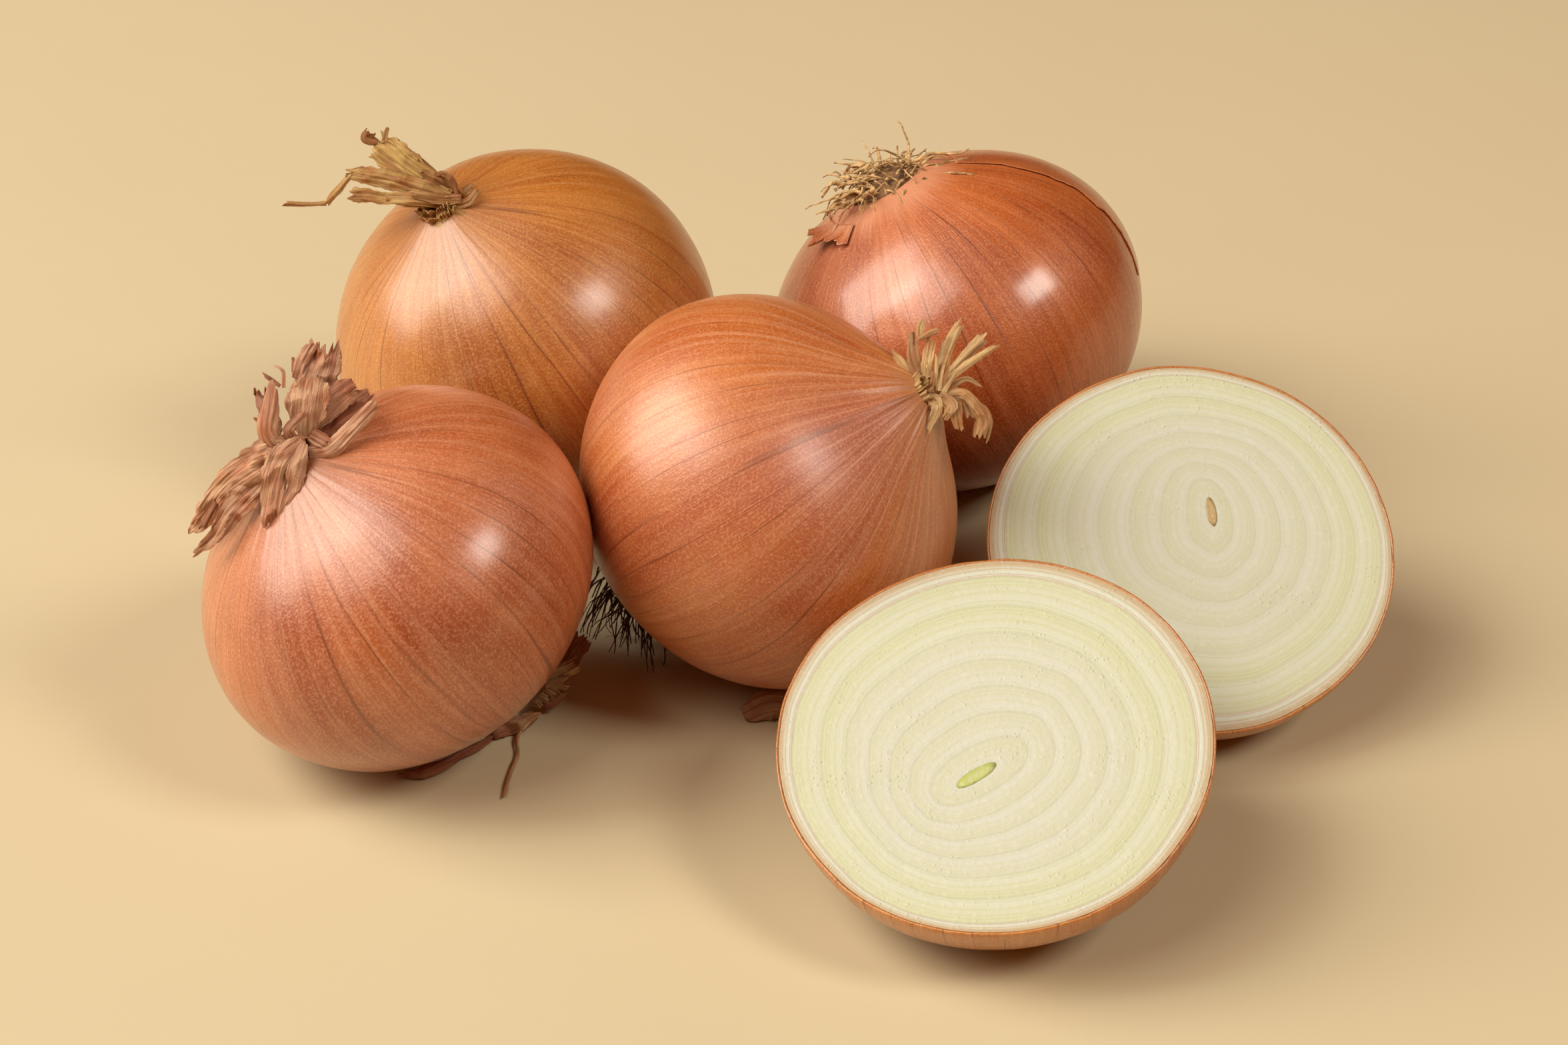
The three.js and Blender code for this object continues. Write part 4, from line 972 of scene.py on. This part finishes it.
def uneven(half, point, ring=0):
    """Cut rings are never true circles: each bulges and flattens on its way round, the inner ones more, and
    the innermost are drawn out to the long shape of the shoot."""
    turn = atan2(point.y, point.x)
    way_round = Vector((cos(turn), sin(turn), 0))
    out = noise.noise(1.6 * way_round + Vector((0, 0, half["seed"] + 0.16 * ring))) * (0.015 + 0.01 * ring)
    small = noise.noise(4.5 * way_round + Vector((0, 0, half["seed"] + 3 + 0.1 * ring)))
    out += small * (0.004 + 0.003 * ring)
    long, narrow, slant = half["shoot"]
    heart = (ring / SCALES) ** 4
    turned_way = Matrix.Rotation(radians(slant), 2)
    flat = turned_way.inverted() @ Vector((point.x * (1 + out), point.y * (1 + out)))
    flat = turned_way @ Vector((flat.x * (1 + (long - 1) * heart), flat.y * (1 + (narrow - 1) * heart)))
    return Vector((flat.x, flat.y, point.z))


for name, half in HALVES.items():
    turn = Matrix.Rotation(radians(half["heading"]), 4, "Z") @ Matrix.Rotation(radians(half["lean"]), 4, "Y")
    radius, depth, heart = half["radius"], half["depth"], Vector((*half["heart"], 0))

    # The dry skin, a thin bowl. Its rim is a little ragged, as the knife left it.
    bowl = [(radius * sin(a), -depth * cos(a)) for a in (0.5 * pi * i / 40 for i in range(41))]
    lining = [(r * (radius - SKIN) / radius, z * (depth - SKIN) / depth) for r, z in reversed(bowl)]
    shell = turned([*bowl, *lining], 180)
    place = seated(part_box(name + "_skin"), shell, turn)
    half["turn"], half["place"] = turn, place
    way = shell.verts.layers.float_vector.new("along_skin")
    for vert in shell.verts:
        spin = atan2(vert.co.y, vert.co.x)
        climb = asin(max(-1, min(1, vert.co.z / depth))) / pi + 0.5
        vert[way] = (cos(spin), sin(spin), climb)
        if vert.co.z > -0.01:
            ragged = noise.noise(Vector((9 * cos(spin), 9 * sin(spin), half["seed"])))
            vert.co.z -= max(0, 0.5 * ragged)
        vert.co = place @ uneven(half, vert.co)
        vert.co.z = max(0, vert.co.z)
    mark_turns(shell)
    add_piece(name + "_dry_skin", shell, [half_skin], [name + "_skin"])

    # Ring radii, from the skin in. Each scale's outside is one ring and its inside is the next.
    room = radius - SKIN - GAP - SHOOT
    rings = []
    for i in range(SCALES + 1):
        inward = 0 if i == 0 else OUTER_SCALE + (room - OUTER_SCALE) * ((i - 1) / (SCALES - 1)) ** 0.92
        r = radius - SKIN - 0.08 - inward
        deep = (depth - SKIN - 0.08) * (r / radius) ** 0.8 - 2.2 * i / SCALES
        rings.append((r, deep, heart * (i / SCALES)))
    for i, ((r_out, deep_out, shift_out), (r_in, deep_in, shift_in)) in enumerate(zip(rings, rings[1:])):
        r_in, deep_in = r_in + 0.002, deep_in + 0.002
        angles = [0.5 * pi * k / 20 for k in range(21)]
        outside = [(r_out * sin(a), -deep_out * cos(a)) for a in angles]
        inside = [(r_in * sin(a), -deep_in * cos(a)) for a in reversed(angles)]
        outside[-1], inside[0] = (r_out, -0.004), (r_in, -0.004)
        face = [(r_out + (r_in - r_out) * k / 6, 0.0) for k in range(7)]
        face[0], face[-1] = (r_out - 0.005, 0.0), (r_in + 0.005, 0.0)
        cup = turned([*outside, *face, *inside], 160)
        share = cup.verts.layers.float.new("across_scale")
        for vert in cup.verts:
            reach = hypot(vert.co.x, vert.co.y)
            within = hypot(reach / r_in, vert.co.z / deep_in) - 1
            without = 1 - hypot(reach / r_out, vert.co.z / deep_out)
            outer = max(0, min(1, within / max(1e-6, within + without)))
            vert[share] = outer
            if vert.co.z > -0.2:
                vert.co.z += 0.03 * sin(pi * outer) + 0.01 * (scatter(i, half["seed"]) - 0.5)
            moved = uneven(half, vert.co, i + 1 - outer) + shift_out * outer + shift_in * (1 - outer)
            vert.co = place @ moved
            vert.co.z = max(0.3, vert.co.z)
        material = FLESH[("rind", "outer", "outer")[i] if i < 3 else "inner"]
        scale = [f"{name}_scale_{i + 1}"]
        add_piece(f"{name}_ring_{i + 1}", cup, [material], scale, smooth=False)

    # The heart: the shoot that would have grown, cut with the rest.
    r, deep, shift = rings[-1]
    angles = [0.5 * pi * k / 10 for k in range(11)]
    bud = turned([*((r * sin(a), -deep * cos(a)) for a in angles), (r * 0.6, -0.05), (0, -0.1)], 32)
    share = bud.verts.layers.float.new("across_scale")
    for vert in bud.verts:
        vert[share] = hypot(vert.co.x, vert.co.y) / r
        vert.co = place @ (uneven(half, vert.co, SCALES) + shift)
    material = FLESH["shoot" if name == "front_half" else "slit"]
    add_piece(name + "_bud", bud, [material], [name + "_shoot"])

# Under the front half is its root plate with short roots, and under the back half the stub of its dry neck.
half = HALVES["front_half"]
point = half["place"] @ Vector((0, 0, -half["depth"] + 0.6))
tuft = bmesh.new()
root_plate(tuft, half, 6.5, 2.4, point)
for i in range(22):
    base = half["turn"] @ Vector((4.5 * scatter(i, 1) * cos(i), 4.5 * scatter(i, 1) * sin(i), -1.0)) + point
    add_root(tuft, base, 360 * i / 22, -4, 8 + 4 * scatter(i, 2), 0.6, bend=-10)
keep_above(tuft, 0.1)
add_piece("front_half_root_tuft", tuft, [CORK["front_left"]], ["front_half_roots"])

half = HALVES["back_half"]
point = half["place"] @ Vector((0, 0, -half["depth"] + 0.4))
tuft = bmesh.new()
for heading, rise, long, wide in (
    (70, -22, 13, 6), (110, -12, 15, 5), (25, -26, 11, 5), (170, -26, 10, 4), (50, -10, 9, 4),
    (140, -18, 12, 5),
):
    ends = [point, point + 0.5 * long * towards(heading, rise), point + long * towards(heading, 0.4 * rise)]
    paper_blade(tuft, ends, [0.6 * wide, wide, 0.6 * wide], cup=90, roll=50)
keep_above(tuft, 0.15)
neck = add_piece("back_half_dry_neck", tuft, [NECK_PAPER["center"]], ["back_half_neck"])
thin_sheet(neck, 0.28)
